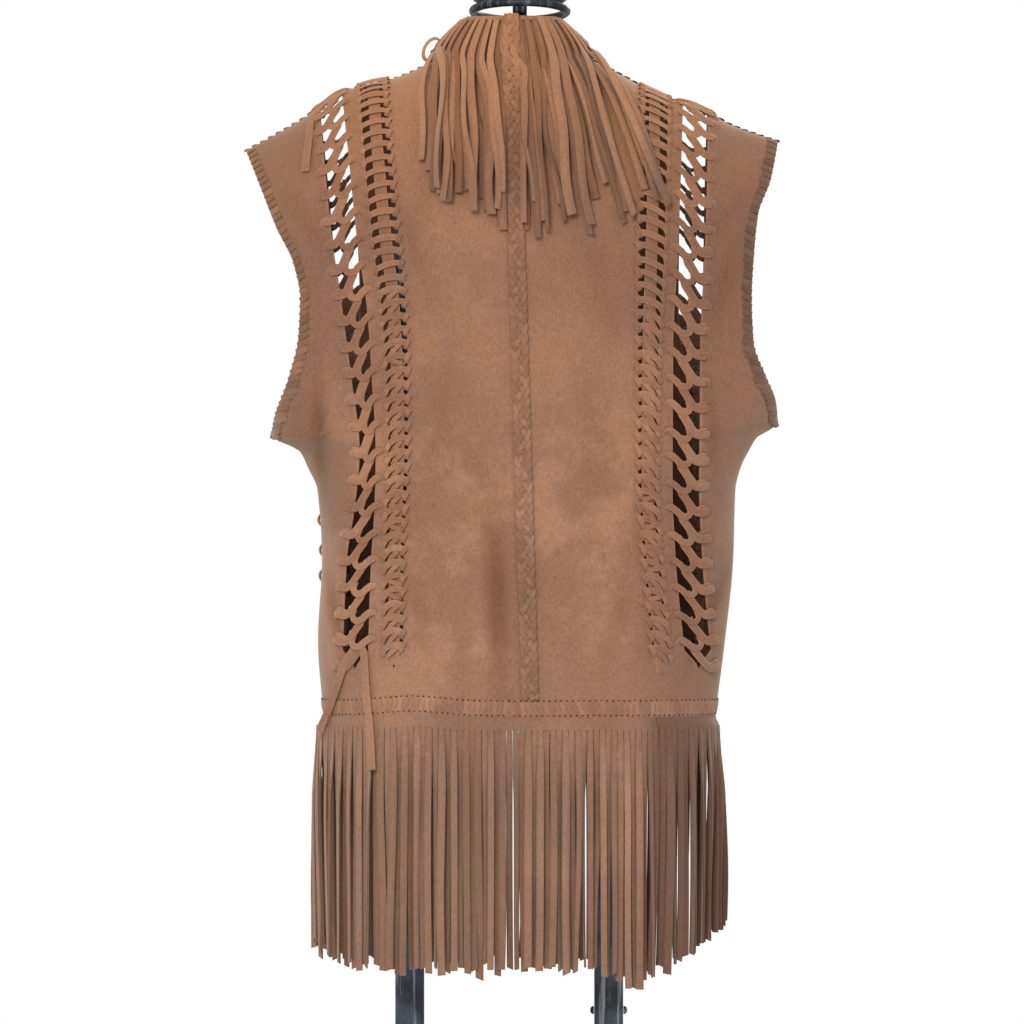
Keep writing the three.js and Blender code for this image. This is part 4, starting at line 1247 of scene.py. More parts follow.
@dataclass
class NarrowBand:
    """A narrow laced band: an upright strap crossed by small bowed loops."""

    shop: Workshop
    side: SidePattern
    seed: int
    pitch: float = 12.2
    foot: float = 592.0
    strap_high: float = 5.2      # half width of the upright strap high up
    strap_low: float = 5.4       # and low down, where the slits are nearly shut
    narrow_from: float = 900.0   # heights between which it changes
    narrow_to: float = 970.0
    high_from: float = 860.0     # height from which the loops run flatter
    high_over: float = 90.0      # and how soon they are at their flattest
    knot_half: float = 2.1
    knot_thick: float = 1.1
    cup: float = 0.08            # how far loops and knots bow out, as a share of half width

    def spot(self, across: Array, run: Array, lift: Array) -> tuple[Array, Array]:
        """Points at a distance across from the band's middle and a run below the shoulder.

        Args:
            across: distance outwards, in millimetres.
            run: run along the cloth below the shoulder line.
            lift: distance out of the cloth.

        Returns:
            The points and the cloth's normals.
        """
        return self.shop.cloth.below_shoulder(
            Face.BACK, self.side.sign, lambda z: self.side.narrow(z) + across, lambda _: run, lift)

    def strap_half(self, run: Array, whole: float) -> Array:
        """Half width of the upright strap at each run: slim high up, full low down."""
        height = self.foot + (whole - run)
        share = np.clip((height - self.narrow_from) / (self.narrow_to - self.narrow_from), 0, 1)
        return self.strap_low + (self.strap_high - self.strap_low) * eased(share)

    def build(self) -> bpy.types.Object:
        """Builds the strap, its loops, crossings and knots as one piece."""
        cloth = self.shop.cloth
        ridge = float(cloth.shoulder(self.side.sign * self.side.narrow(np.array(1100.0))))
        whole = float(cloth.run_of(np.array(ridge - self.foot)))
        run = np.linspace(3, whole + 4, 150)[None]
        strap = straps(*self.spot(0.0, run, -0.2), self.strap_half(run, whole), 1.4)
        count = int(whole / self.pitch)
        middle = (6 + self.pitch * np.arange(count))[:, None]
        height = self.foot + whole - middle
        draw = draws(self.seed, count, 4)
        t = np.linspace(-1, 1, 17)[None]
        reach = self.side.band(np.clip(height, 600, 1120)) + 2.4
        high = np.clip((height - self.high_from) / self.high_over, 0, 1)
        rise = (4.6 - 2.0 * high) * np.cos(t * math.pi / 2) ** 1.2 + (0.9 + 1.3 * draw[:, 1:2]) * t
        lift = 2.0 * np.cos(np.abs(t) ** 3 * math.pi / 2) + 0.8 * np.cos(t * math.pi / 2)
        lift = lift - 2.6 * np.maximum(np.abs(t) - 0.86, 0) / 0.14
        loops = straps(*self.spot(t * reach, middle - rise + 0.6 * draw[:, :1], lift),
                       3.0 - 0.5 * np.abs(t) + 0.3 * draw[:, 1:2], 1.3,
                       0.25 * draw[:, 2:3], 0.5 + 0.5 * draw[:, 3], self.cup)
        parts = [strap, loops, self.crossings(middle[height < self.narrow_from + 20, None], draw)]
        t = np.linspace(-1, 1, 13)[None]
        lift = 2.9 * np.cos(t * math.pi / 2) ** 0.7 - 0.7 * np.abs(t) ** 3
        for way in (-1.0, 1.0):
            fall = 0.8 + way * (3.4 + 0.8 * draw[:, :1]) * t
            knots = self.spot(way * (reach - 2.2 + 2.1 * t), middle + fall, lift)
            parts.append(straps(*knots, self.knot_half, self.knot_thick, 0.0,
                                0.5 - 0.5 * draw[:, 3], self.cup))
        name = f"back_narrow_band_{self.side.name}"
        return self.shop.piece(f"{name}_laces", joined(parts), self.shop.lace, "lace", [name])

    def crossings(self, middle: Array, draw: Array) -> MeshPart:
        """Short slanted laces over the lower loops.

        Args:
            middle: run below the shoulder of the middle of each of these loops.
            draw: random numbers of the loops.

        Returns:
            The crossings.
        """
        draw = draw[:len(middle)]
        t = np.linspace(-1, 1, 15)[None]
        lift = 2.9 * np.cos(t * math.pi / 2) ** 0.6 - 0.9 * np.abs(t) ** 3
        fall = self.pitch * (0.42 + 0.06 * draw[:, 1:2]) * t * np.sign(draw[:, :1] + 0.6)
        return straps(*self.spot(t * (6.6 + draw[:, 2:3]), middle + 1.5 + fall, lift),
                      self.knot_half, self.knot_thick, 0.15 * draw[:, 3:4],
                      0.5 + 0.5 * draw[:, 2], self.cup)


@dataclass
class EdgeStitches:
    """Lace stitches over the armhole edges and along the shoulder seams of one side."""

    shop: Workshop
    side: SidePattern
    seed: int
    pitch: float = 6.6
    inset: float = 22.0          # length of an armhole stitch along the face
    rows: tuple = (8.0, 9.0, 16.6)   # lowest row on the right and left, and the highest
    half: float = 2.95
    thick: float = 0.9
    seam_half: float = 3.4       # the shoulder's stitches lie side by side
    seam_thick: float = 0.6
    seam_start: float = 8.0      # distance of the first from the neck
    seam_end: float = 236.0      # and of the last from the middle

    def armhole(self, face: Face, near: EdgeLine, width: float, draw_from: int) -> MeshPart:
        """Stitches that run from a hole beside the edge, over it and round behind it.

        Args:
            face: back or front.
            near: the other edge of the panel.
            width: the panel's usual width at the arm.
            draw_from: seed of this edge's unevenness.

        Returns:
            The stitches.
        """
        cloth, grid = self.shop.cloth, self.side.grid
        first = self.rows[0] if self.side.sign > 0 else self.rows[1]
        rows = np.linspace(first, self.rows[2], 400)
        edge = grid.spots(face, near, self.side.outer, np.ones(400), rows)
        run = run_along(cloth.point(face, *edge))
        count = int(run[-1] / self.pitch)
        at = np.interp(middles(count) * run[-1], run, rows)
        draw = draws(draw_from, count, 3)
        (inward, lift), _ = through([(0.85, -0.7), (0.80, 0.35), (0.4, 0.62), (0.06, 0.0),
                                     (0.01, -0.8), (0.06, -1.8), (0.3, -2.0)], 22)
        inward = inward * (1 + 0.10 * draw[:, :1])
        slant = (0.045 + 0.02 * draw[:, 1:2]) * inward
        x, z = grid.spots(face, near, self.side.outer, 1 - inward * self.inset / width,
                          at[:, None] + slant)
        path, plain = cloth.laid(face, x, z, lift)
        edge = grid.spots(face, near, self.side.outer, np.ones(count), at)
        along = unit(np.gradient(cloth.point(face, *edge), axis=0))[:, None]
        ahead = unit(np.gradient(path, axis=1))
        outward = np.where(lift[..., None] > -0.4, plain, np.cross(along, ahead))
        return straps(path, outward, self.half * (1 + 0.1 * draw[:, 2:3]), self.thick, 0.0,
                      0.5 + 0.4 * draw[:, 2])

    def shoulder(self, draw_from: int) -> MeshPart:
        """Stitches across the shoulder seam, from the back over to the front."""
        cloth = self.shop.cloth
        start = cloth.neck_half + self.seam_start
        count = int((self.seam_end - start) / self.pitch)
        middle = self.side.sign * np.linspace(start, self.seam_end, count)[:, None]
        draw = draws(draw_from, count, 3)
        t = np.linspace(-1, 1, 19)[None]
        lift = -1.3 * np.maximum(np.abs(t) - 0.82, 0) / 0.18 + 0.1 * draw[:, 1:2]
        path = cloth.over_shoulder(middle + 2.2 * t, t * (6.5 + draw[:, :1]), lift)
        outward = unit(np.stack([0 * t, 0.35 * t, 1 + 0 * t], axis=-1)) + 0 * path
        return straps(path, outward, self.seam_half, self.seam_thick, 0.0,
                      0.5 + 0.4 * draw[:, 2])

    def build(self) -> bpy.types.Object:
        """Builds the stitches of one side."""
        s = self.side
        back = self.armhole(Face.BACK, s.edge(s.wide, s.open, 1), 78, self.seed)
        front = self.armhole(Face.FRONT, s.edge(s.front_wide, s.open_half, 1), 74, self.seed + 1)
        part = joined([back, front, self.shoulder(self.seed + 2)])
        return self.shop.piece(f"edge_stitches_{s.name}", part, self.shop.fringe, "lace")


@dataclass
class HemStretch:
    """One stretch of the hem, with even places along it."""

    cloth: WornCloth
    face: Face
    start: float
    end: float
    cell: float = 4.0
    seam_clear: float = 0.0005   # angle that keeps the ends off the side seams' edge

    def __post_init__(self) -> None:
        """Measures the run along the cloth at the root of the fringe."""
        self.turns = np.linspace(self.start, self.end, 401)
        self.run = run_along(self.place(self.turns, FRINGE_ROOT, 0.0))

    def place(self, turn: Array, z: Array | float, lift: Array | float) -> Array:
        """Points on the hem's ring: turn goes from -1 at one side seam to 1 at the other."""
        x = self.cloth.section_place(turn * (math.pi / 2 - self.seam_clear), z)
        return self.cloth.point(self.face, x, z, lift)

    def strip(self, z: Array, lift: Array | float) -> MeshPart:
        """A wall of cloth round the stretch, over heights z and with its face at lift."""
        columns = max(int(self.run[-1] / self.cell), 8)
        turn = self.turn_at(np.linspace(0, 1, columns + 1))[:, None]
        return wall(self.place(turn, z, lift), self.place(turn, z, -SUEDE))

    def turn_at(self, share: Array) -> Array:
        """Turn at a share of the stretch's length."""
        return np.interp(np.clip(share, 0, 1) * self.run[-1], self.run, self.turns)


@dataclass
class Hem:
    """The hem band with its lace stitches and punched holes."""

    shop: Workshop
    stitch_pitch: float = 5.2
    stitch_half: float = 2.15
    raise_by: float = 0.6
    upper_row: float = 561.2     # heights of the two rows of holes
    lower_row: float = 548.4
    hole_lift: float = 0.75
    hole_half: float = 0.95
    change_at: float = 0.52      # share of a stretch past which the stitches lean the other way

    def lean(self, stretch: HemStretch, share: Array) -> Array:
        """Which way the stitches lean, as a share of the stretch for one pitch."""
        return np.where(share < self.change_at, -1.0, 1.0) * self.stitch_pitch / stretch.run[-1]

    def band(self, node: str, stretch: HemStretch, seed: int) -> bpy.types.Object:
        """One stretch of the band: a wall with a row of slanted stitches on it.

        Args:
            node: the CAD node that it replaces.
            stretch: its place on the hem.
            seed: seed of its unevenness.

        Returns:
            The band.
        """
        fall = np.array([-0.5, 0, 0, 0, 0, 0, -0.5])[None]
        z = np.linspace(BAND_FOOT, PANEL_FOOT - SEAM, fall.size)[None]
        count = int(stretch.run[-1] / self.stitch_pitch)
        draw = draws(seed, count, 3)
        share = middles(count)[:, None]
        t = np.linspace(0, 1, 13)[None]
        uneven = 0.3 * draw[:, :1] * self.stitch_pitch / stretch.run[-1]
        turn = stretch.turn_at(share + (t - 0.5) * (0.8 * self.lean(stretch, share) + uneven))
        height = self.upper_row - t * (self.upper_row - self.lower_row) + 0.5 * draw[:, 1:2]
        lift = self.raise_by + 1.0 * np.sin(math.pi * t) ** 0.5 - 0.8
        path = stretch.place(turn, height, lift)
        outward = path - stretch.place(turn, height, lift - 5)
        stitches = straps(path, outward, self.stitch_half, 1.1, 0.0, 0.5 + 0.5 * draw[:, 2], 0.1)
        part = joined([stretch.strip(z, self.raise_by + fall), stitches])
        return self.shop.piece(f"{node}_stitched", part, self.shop.lace, "lace", [node])

    def holes(self, name: str, stretches: Sequence[HemStretch]) -> bpy.types.Object:
        """Small punched holes at both ends of the stitches, as thin lens-shaped dots whose dark
        colour is a painted shade inside each hole.
        """
        parts = []
        t = np.linspace(-1, 1, 5)[None]
        half = self.hole_half * np.sqrt(np.maximum(1 - t * t, 0.12))
        for stretch in stretches:
            share = middles(int(stretch.run[-1] / self.stitch_pitch))
            for height, way in ((self.upper_row, -0.4), (self.lower_row, 0.4)):
                turn = stretch.turn_at(share + way * self.lean(stretch, share))[:, None]
                z = height + t * 0.75
                path = stretch.place(turn, z, self.hole_lift)
                outward = path - stretch.place(turn, z, -5)
                parts.append(straps(path, outward, half, 0.24))
        return self.shop.piece(name, joined(parts), self.shop.hole, "lace")


@dataclass
class HemFringe:
    """The long fringe of the hem: a strip whose lower edge is cut into swaying strands."""

    shop: Workshop
    stations: int = 22
    sway: float = 1.4            # how far a strand waves to its sides
    drift: float = 2.4           # and how far its end drifts
    slit_half: float = 0.15
    ends: Rail = field(default_factory=lambda: Rail(FRINGE_ENDS, "height", "across"))

    def build(self, node: str, stretch: HemStretch, count: int, seed: int) -> bpy.types.Object:
        """One stretch of fringe.

        Each strand hangs from its root, sways as half a wave, drifts with the square of its
        drop and curls about its own length more and more towards its end.

        Args:
            node: the CAD node that it replaces.
            stretch: its place on the hem.
            count: number of strands.
            seed: seed of their unevenness.

        Returns:
            The fringe.
        """
        draw = draws(seed, count, 9).T[..., None]
        middle = stretch.turn_at(middles(count))[:, None]
        root = stretch.place(middle, FRINGE_ROOT, -SUEDE / 2)
        inside = stretch.place(middle, FRINGE_ROOT, -SUEDE / 2 - 5)
        up = np.array([0, 0, 1.0])
        out = unit((root - inside) * (1 - up))
        side = unit(np.cross(up, out))
        t = np.linspace(-0.012, 1, self.stations)[None]
        down = np.maximum(t, 0)
        length = (root[..., 2] - self.ends(root[..., 0])
                  + 7 * draw[0] ** 3 + 3 * draw[1])
        sway = (self.sway * draw[2] * np.sin(math.pi * down * (1.2 + draw[3]))
                + self.drift * draw[4] * down ** 2)
        turn_about = np.arange(count)[:, None] % 2 * 2 - 1
        bow = (1.2 * np.sin(math.pi * down) + 3.2 * draw[5] * down ** 1.5
               + 0.9 * draw[6] * np.sin(2 * math.pi * down)
               + (1.9 * turn_about + 1.1 * draw[8]) * np.clip(down * 3, 0, 1))
        path = (root + side * sway[..., None] + out * bow[..., None]
                - up * (t * length)[..., None])
        curl = draw[7] * 0.75 + np.sign(draw[7]) * (np.abs(draw[8]) > 0.8) * 0.6
        twist = curl * np.minimum(down * 3.5, 1) * (0.7 + 0.5 * down)
        wider = 1.0 + (0.27 + 0.16 * draw[3]) * np.clip(down * 5, 0, 1)
        half = (stretch.run[-1] / count / 2 - self.slit_half) * wider
        # Painted shade and light: strands set back are a little darker and strands set forward a
        # little paler; the rest of the tone is each strand's own.
        tone = 0.5 + (0.34 * draw[6] + 0.08 * turn_about) * np.clip(down * 6, 0, 1)
        strands = straps(path, out + 0 * path, half, SUEDE - 0.12, twist, tone,
                         0.14 * draw[2], 0.5 * draw[5])
        strip = stretch.strip(np.linspace(FRINGE_ROOT, BAND_FOOT + 1.0, 4)[None], 0.0)
        return self.shop.piece(f"{node}_strands", joined([strip, strands]), self.shop.fringe,
                               "fringe", [node])


@dataclass
class Collar:
    """The standing collar with two rows of long fringe that fall over the shoulders."""

    shop: Workshop
    top_half: float = 43.0
    top_back: float = 46.0
    top_height: float = 1173.0
    front_drop: float = 14.0
    foot_gap: float = 1.3
    reach: float = 1.15          # quarter turns from the centre back to each end
    back_turn: float = 0.93      # strands beyond this turn fall over the front
    on_collar: int = 7           # stations of a strand that lie on the collar
    across_jitter: float = 7.5
    height_jitter: float = 9.0
    short_over: float = 0.55     # a draw above this makes a strand shorter
    shorter: float = 26.0        # by so much
    front_across: tuple = (150.0, 75.0)    # end of a front strand: less so much a quarter turn
    front_end: float = 1030.0
    braid_clear: float = 10.0    # distance that the strands keep from the plait's middle

    def place(self, turn: Array, up: Array, lift: Array | float) -> Array:
        """Points of the collar: up runs from the neck seam to its upper edge.

        A straight line from the seam to the top, bowed out by a sine and moved out by lift.
        """
        turn, up, lift = np.broadcast_arrays(turn, up, lift)
        angle = turn * math.pi / 2
        foot = self.shop.cloth.neck_seam(turn) + np.array([0, 0, self.foot_gap])
        drop = self.front_drop * np.maximum(np.abs(turn) - 0.6, 0)
        top = np.stack([self.top_half * np.sin(angle), 6 + (self.top_back - 6) * np.cos(angle),
                        self.top_height - drop], axis=-1)
        out = unit(np.stack([np.sin(angle), np.cos(angle), 0.35 + 0 * angle], axis=-1))
        return (foot + (top - foot) * up[..., None]
                + out * (3 * np.sin(math.pi * up) + lift)[..., None])

    def shell(self) -> tuple[MeshPart, Array]:
        """The collar itself and its face side."""
        turn = np.linspace(-self.reach, self.reach, 71)[:, None]
        up = np.linspace(0, 1, 11)[None]
        fall = -0.4 * np.maximum(np.abs(2 * up - 1) - 0.8, 0) / 0.2
        outer = self.place(turn, up, fall)
        return wall(outer, self.place(turn, up, -SUEDE - fall * 0.5)), outer

    def strands(self, count: int, clear: float, lift: float, seed: int) -> MeshPart:
        """A row of fringe, from a strip round the collar down over the cloth.

        Args:
            count: number of strands.
            clear: distance of its strip from the collar.
            lift: distance of its strands from the cloth.
            seed: seed of their unevenness.

        Returns:
            The strip and its strands.
        """
        turn = np.linspace(-self.reach, self.reach, 61)[:, None]
        up = np.linspace(0.88, 0.97, 3)[None]
        strip = wall(self.place(turn, up, clear + SUEDE), self.place(turn, up, clear))
        draw = draws(seed, count, 10)
        place = self.reach * (2 * middles(count) - 1)
        behind = np.abs(place) <= self.back_turn
        falls = [self.fall(face, place[chosen, None], draw[chosen].T[..., None], clear, lift)
                 for face, chosen in ((Face.BACK, behind), (Face.FRONT, ~behind))]
        return joined([strip, *falls])

    def ends(self, face: Face, turn: Array, draw: Array) -> tuple[Array, Array]:
        """Places across and heights of the strands' ends."""
        if face is Face.FRONT:
            across = self.front_across[0] - self.front_across[1] * np.abs(turn)
            return np.sign(turn) * across, self.front_end + 8 * draw[2]
        return (Rail(COLLAR_ENDS, "across", "turn")(turn) + self.across_jitter * draw[1],
                Rail(COLLAR_ENDS, "height", "turn")(turn) + self.height_jitter * draw[2]
                + self.shorter * (draw[9] > self.short_over))

    def fall(self, face: Face, turn: Array, draw: Array, clear: float, lift: float) -> MeshPart:
        """The strands of one row that fall over the back or the front.

        Each runs down the collar, then over the cloth to its end in two soft waves, and
        turns about its own length lower down.

        Args:
            face: back or front.
            turn: places of the strands round the collar.
            draw: ten random numbers for each strand.
            clear: distance of the strip from the collar.
            lift: distance of the strands from the cloth.

        Returns:
            The strands.
        """
        cloth = self.shop.cloth
        turn = turn + 0.01 * draw[0]
        across, height = self.ends(face, turn, draw)
        foot = cloth.neck_seam(turn)
        start = cloth.run_of(np.maximum(cloth.shoulder(foot[..., 0]) - foot[..., 2], 0))
        end = cloth.run_of(cloth.shoulder(across) - height)
        up = np.linspace(0.96, 0.06, self.on_collar)[None]
        upper = self.place(turn, up, clear + SUEDE / 2 + 0.02
                           + (lift - clear - 1) * (1 - up) ** 1.5)
        t = np.linspace(0.02, 1, 26)[None]
        wave = (5.0 * draw[3] * np.sin(math.pi * t * (1.1 + 0.7 * draw[4]))
                + 2.1 * draw[5] * np.sin(3 * math.pi * t)) * np.minimum(4 * t, 1)
        x = foot[..., 0] + (across - foot[..., 0]) * t ** 0.9 + wave
        seam = cloth.centre_seam(np.array(1080.0))
        way = np.where(0.5 * (foot[..., 0] + across) < seam, -1.0, 1.0)
        near = np.exp(-((x - seam) / 13) ** 2) * (face is Face.BACK)
        x = x + way * near * np.maximum(self.braid_clear - way * (x - seam), 0)
        z = cloth.shoulder(x) - cloth.drop_of(start + (end - start) * t)
        level = (lift + 2.4 * draw[6] + 2.5 * np.sin(math.pi * t)
                 + 1.3 * np.maximum(draw[7], 0) * np.sin(2 * math.pi * t) ** 2)
        lower, normal = cloth.laid(face, x, z, level)
        angle = turn * math.pi / 2
        away = np.stack([np.sin(angle), np.cos(angle), 0 * angle + 0.3], axis=-1)
        path = np.concatenate([upper, lower], axis=1)
        outward = np.concatenate([np.repeat(away, self.on_collar, axis=1), normal], axis=1)
        path[:, 1:-1] = smoothed(path, 2)[:, 1:-1]
        s = np.linspace(0, 1, path.shape[1])[None]
        turned = 0.4 * draw[7] + 0.9 * draw[8] * (np.abs(draw[8]) > 0.6)
        twist = turned * np.clip((s - 0.2) / 0.5, 0, 1) ** 1.2
        half = (3.6 + 1.1 * draw[5]) * np.clip(0.78 + s * 0.9, 0, 1)
        return straps(path, unit(smoothed(outward, 2)), half, SUEDE - 0.2, twist,
                      0.5 + 0.5 * draw[6], 0.14 * draw[4], 0.4 * draw[3])

    def build(self) -> list[bpy.types.Object]:
        """Builds the collar and its two rows of fringe."""
        shell, outer = self.shell()
        collar = self.shop.piece("collar_suede", shell, self.shop.suede, "suede", ["collar"])
        under, over = (
            self.shop.piece(f"collar_strands_{row}", self.strands(*sizes), self.shop.fringe,
                            "fringe", [f"collar_fringe_{row}"])
            for row, sizes in (("under", (30, 0.4, 5.6, 31)), ("over", (27, 3.0, 9.6, 32))))
        flat, area = sheet_size(outer)
        return [collar, under, over]


@dataclass
class CentreBraid:
    """The flat plait of five laces along the centre back, from the collar to the hem."""

    shop: Workshop
    swing: float = 5.6           # how far each lace swings to either side
    rise: float = 0.62
    period: float = 47.0
    half: float = 2.5
    bow: float = 0.2             # how round the laces are, as a share of their half width
    lift: float = 1.6
    laces: int = 5
    over_fringe: float = 11.5    # its height over the cloth at the collar
    free_run: float = 85.0       # run below the neck seam where it lies on the cloth again
    over_collar: int = 26        # stations that lie over the collar

    def build(self, collar: Collar) -> bpy.types.Object:
        """Builds the plait: each lace swings as a sine and rises as a sine of four times the
        angle, a fifth of a turn from the next, so that it goes over and under in turn.

        Args:
            collar: the collar, over which the plait starts.

        Returns:
            The plait.
        """
        cloth = self.shop.cloth
        ridge = float(cloth.shoulder(np.array(0.0)))
        top = float(cloth.run_of(np.array(ridge - cloth.neck_height + cloth.neck_dip)))
        whole = ridge - PANEL_FOOT + cloth.shoulder_round * (math.pi / 2 - 1)
        run = np.linspace(top, whole, 460)[None]
        z = ridge - cloth.drop_of(run)
        n = self.over_collar
        first = np.linspace(-34, -1.5, n)[None]
        phase = 2 * math.pi * (np.concatenate([top + first, run], 1) / self.period
                               + np.arange(self.laces)[:, None] / self.laces)
        swing = self.swing * np.sin(phase)
        rise = self.rise * np.sin((self.laces - 1) * phase)
        free = np.clip(1 - (run - top) / self.free_run, 0, 1)
        level = self.lift + (self.over_fringe - self.lift) * eased(free)
        x = cloth.centre_seam(z) + swing[:, n:]
        below, normal = cloth.laid(Face.BACK, x, z, level + rise[:, n:])
        turn = (cloth.centre_seam(z[:, :1]) + swing[:, :n]) / cloth.neck_half / (math.pi / 2)
        above = collar.place(turn, 0.03 - first * 0.028, 7.0 + rise[:, :n])
        path = np.concatenate([above, below], axis=1)
        path[:, n - 4:n + 6] = smoothed(path, 3)[:, n - 4:n + 6]
        upright = np.array([0, 1.0, 0.35]) + 0 * above
        outward = unit(smoothed(np.concatenate([upright, normal], axis=1)))
        tone = np.linspace(0.3, 0.8, self.laces)
        part = straps(path, outward, self.half, 0.9, 0.0, tone, self.bow)
        # The fringe finish's dark edges are a painted shadow in the plait's crevices.
        return self.shop.piece("back_centre_plait", part, self.shop.fringe, "lace",
                               ["back_centre_braid"])


@dataclass
class LooseLaces:
    """The free ends of the lacing, a few knots at the side and the loop at the neck."""

    shop: Workshop
    loop_half: float = 2.9
    loop_thick: float = 1.5
    loop_heights: tuple = (722.0, 695.0, 672.0)

    def end(self, name: str, stops: Sequence[tuple[float, float, float]], twist: float,
            backwards: float = 0.0) -> bpy.types.Object:
        """A free lace end along stops of across, height and lift.

        Args:
            name: where it is, as in its CAD node's name.
            stops: its route on the back.
            twist: turn of its tip, in radians.
            backwards: how far its face is turned from the cloth's towards straight behind.

        Returns:
            The lace end.
        """
        (x, z, lift), share = through(stops, 40)
        path, outward = self.shop.cloth.laid(Face.BACK, x, z, lift)
        outward = unit(outward + backwards * np.array([0, 1.0, 0]))
        part = straps(path, outward, LACE_HALF, LACE_THICK, twist * share ** 2, None, 0.08)
        return self.shop.piece(f"lace_tail_{name}", part, self.shop.lace, "lace",
                               [f"lace_end_{name}"])

    def knots(self) -> bpy.types.Object:
        """Small loops that stand out at the side seam, and one at the neck."""
        cloth = self.shop.cloth
        angle = np.linspace(0, math.pi, 17)[None]
        z = np.array(self.loop_heights)[:, None] + 5.5 * np.cos(angle)
        loops = cloth.laid(Face.FRONT, cloth.plus(z) - 1.6, z, -0.8 + 4.6 * np.sin(angle))
        side = straps(*loops, self.loop_half, self.loop_thick)
        turn = np.linspace(-0.62, 1.42, 33)[None] * math.pi
        wide = 7.5 * np.cos(turn) - 2 * np.sin(turn)
        path = np.stack([72 + wide, 6 + 5 * np.cos(turn * 0.7),
                         1145 + 9.5 * np.sin(turn) - 0.2 * wide], -1)
        flat = np.stack([np.cos(turn), 0.3 + 0 * turn, np.sin(turn)], -1)
        neck = straps(path, flat, self.loop_half, self.loop_thick)
        return self.shop.piece("lace_loops", joined([side, neck]), self.shop.lace, "lace")

    def build(self) -> list[bpy.types.Object]:
        """Builds the three lace ends and the loops."""
        return [
            self.end("hanging", [
                (137, 612, -0.9), (131, 604, 2.6), (128, 570, 4.0), (124.5, 538, 5.4),
                (121, 500, 9.0)], 0.25),
            self.end("slanted", [
                (141, 606, 0.6), (147, 594, 3.2), (153, 574, 4.4), (159.5, 552, 5.6),
                (165.5, 533, 7.4)], 0.0, 1.0),
            self.end("shoulder", [
                (170, 1092, -0.6), (178, 1082, 2.6), (180.5, 1060, 3.0), (183, 1032, 3.4)], 0.2),
            self.knots(),
        ]


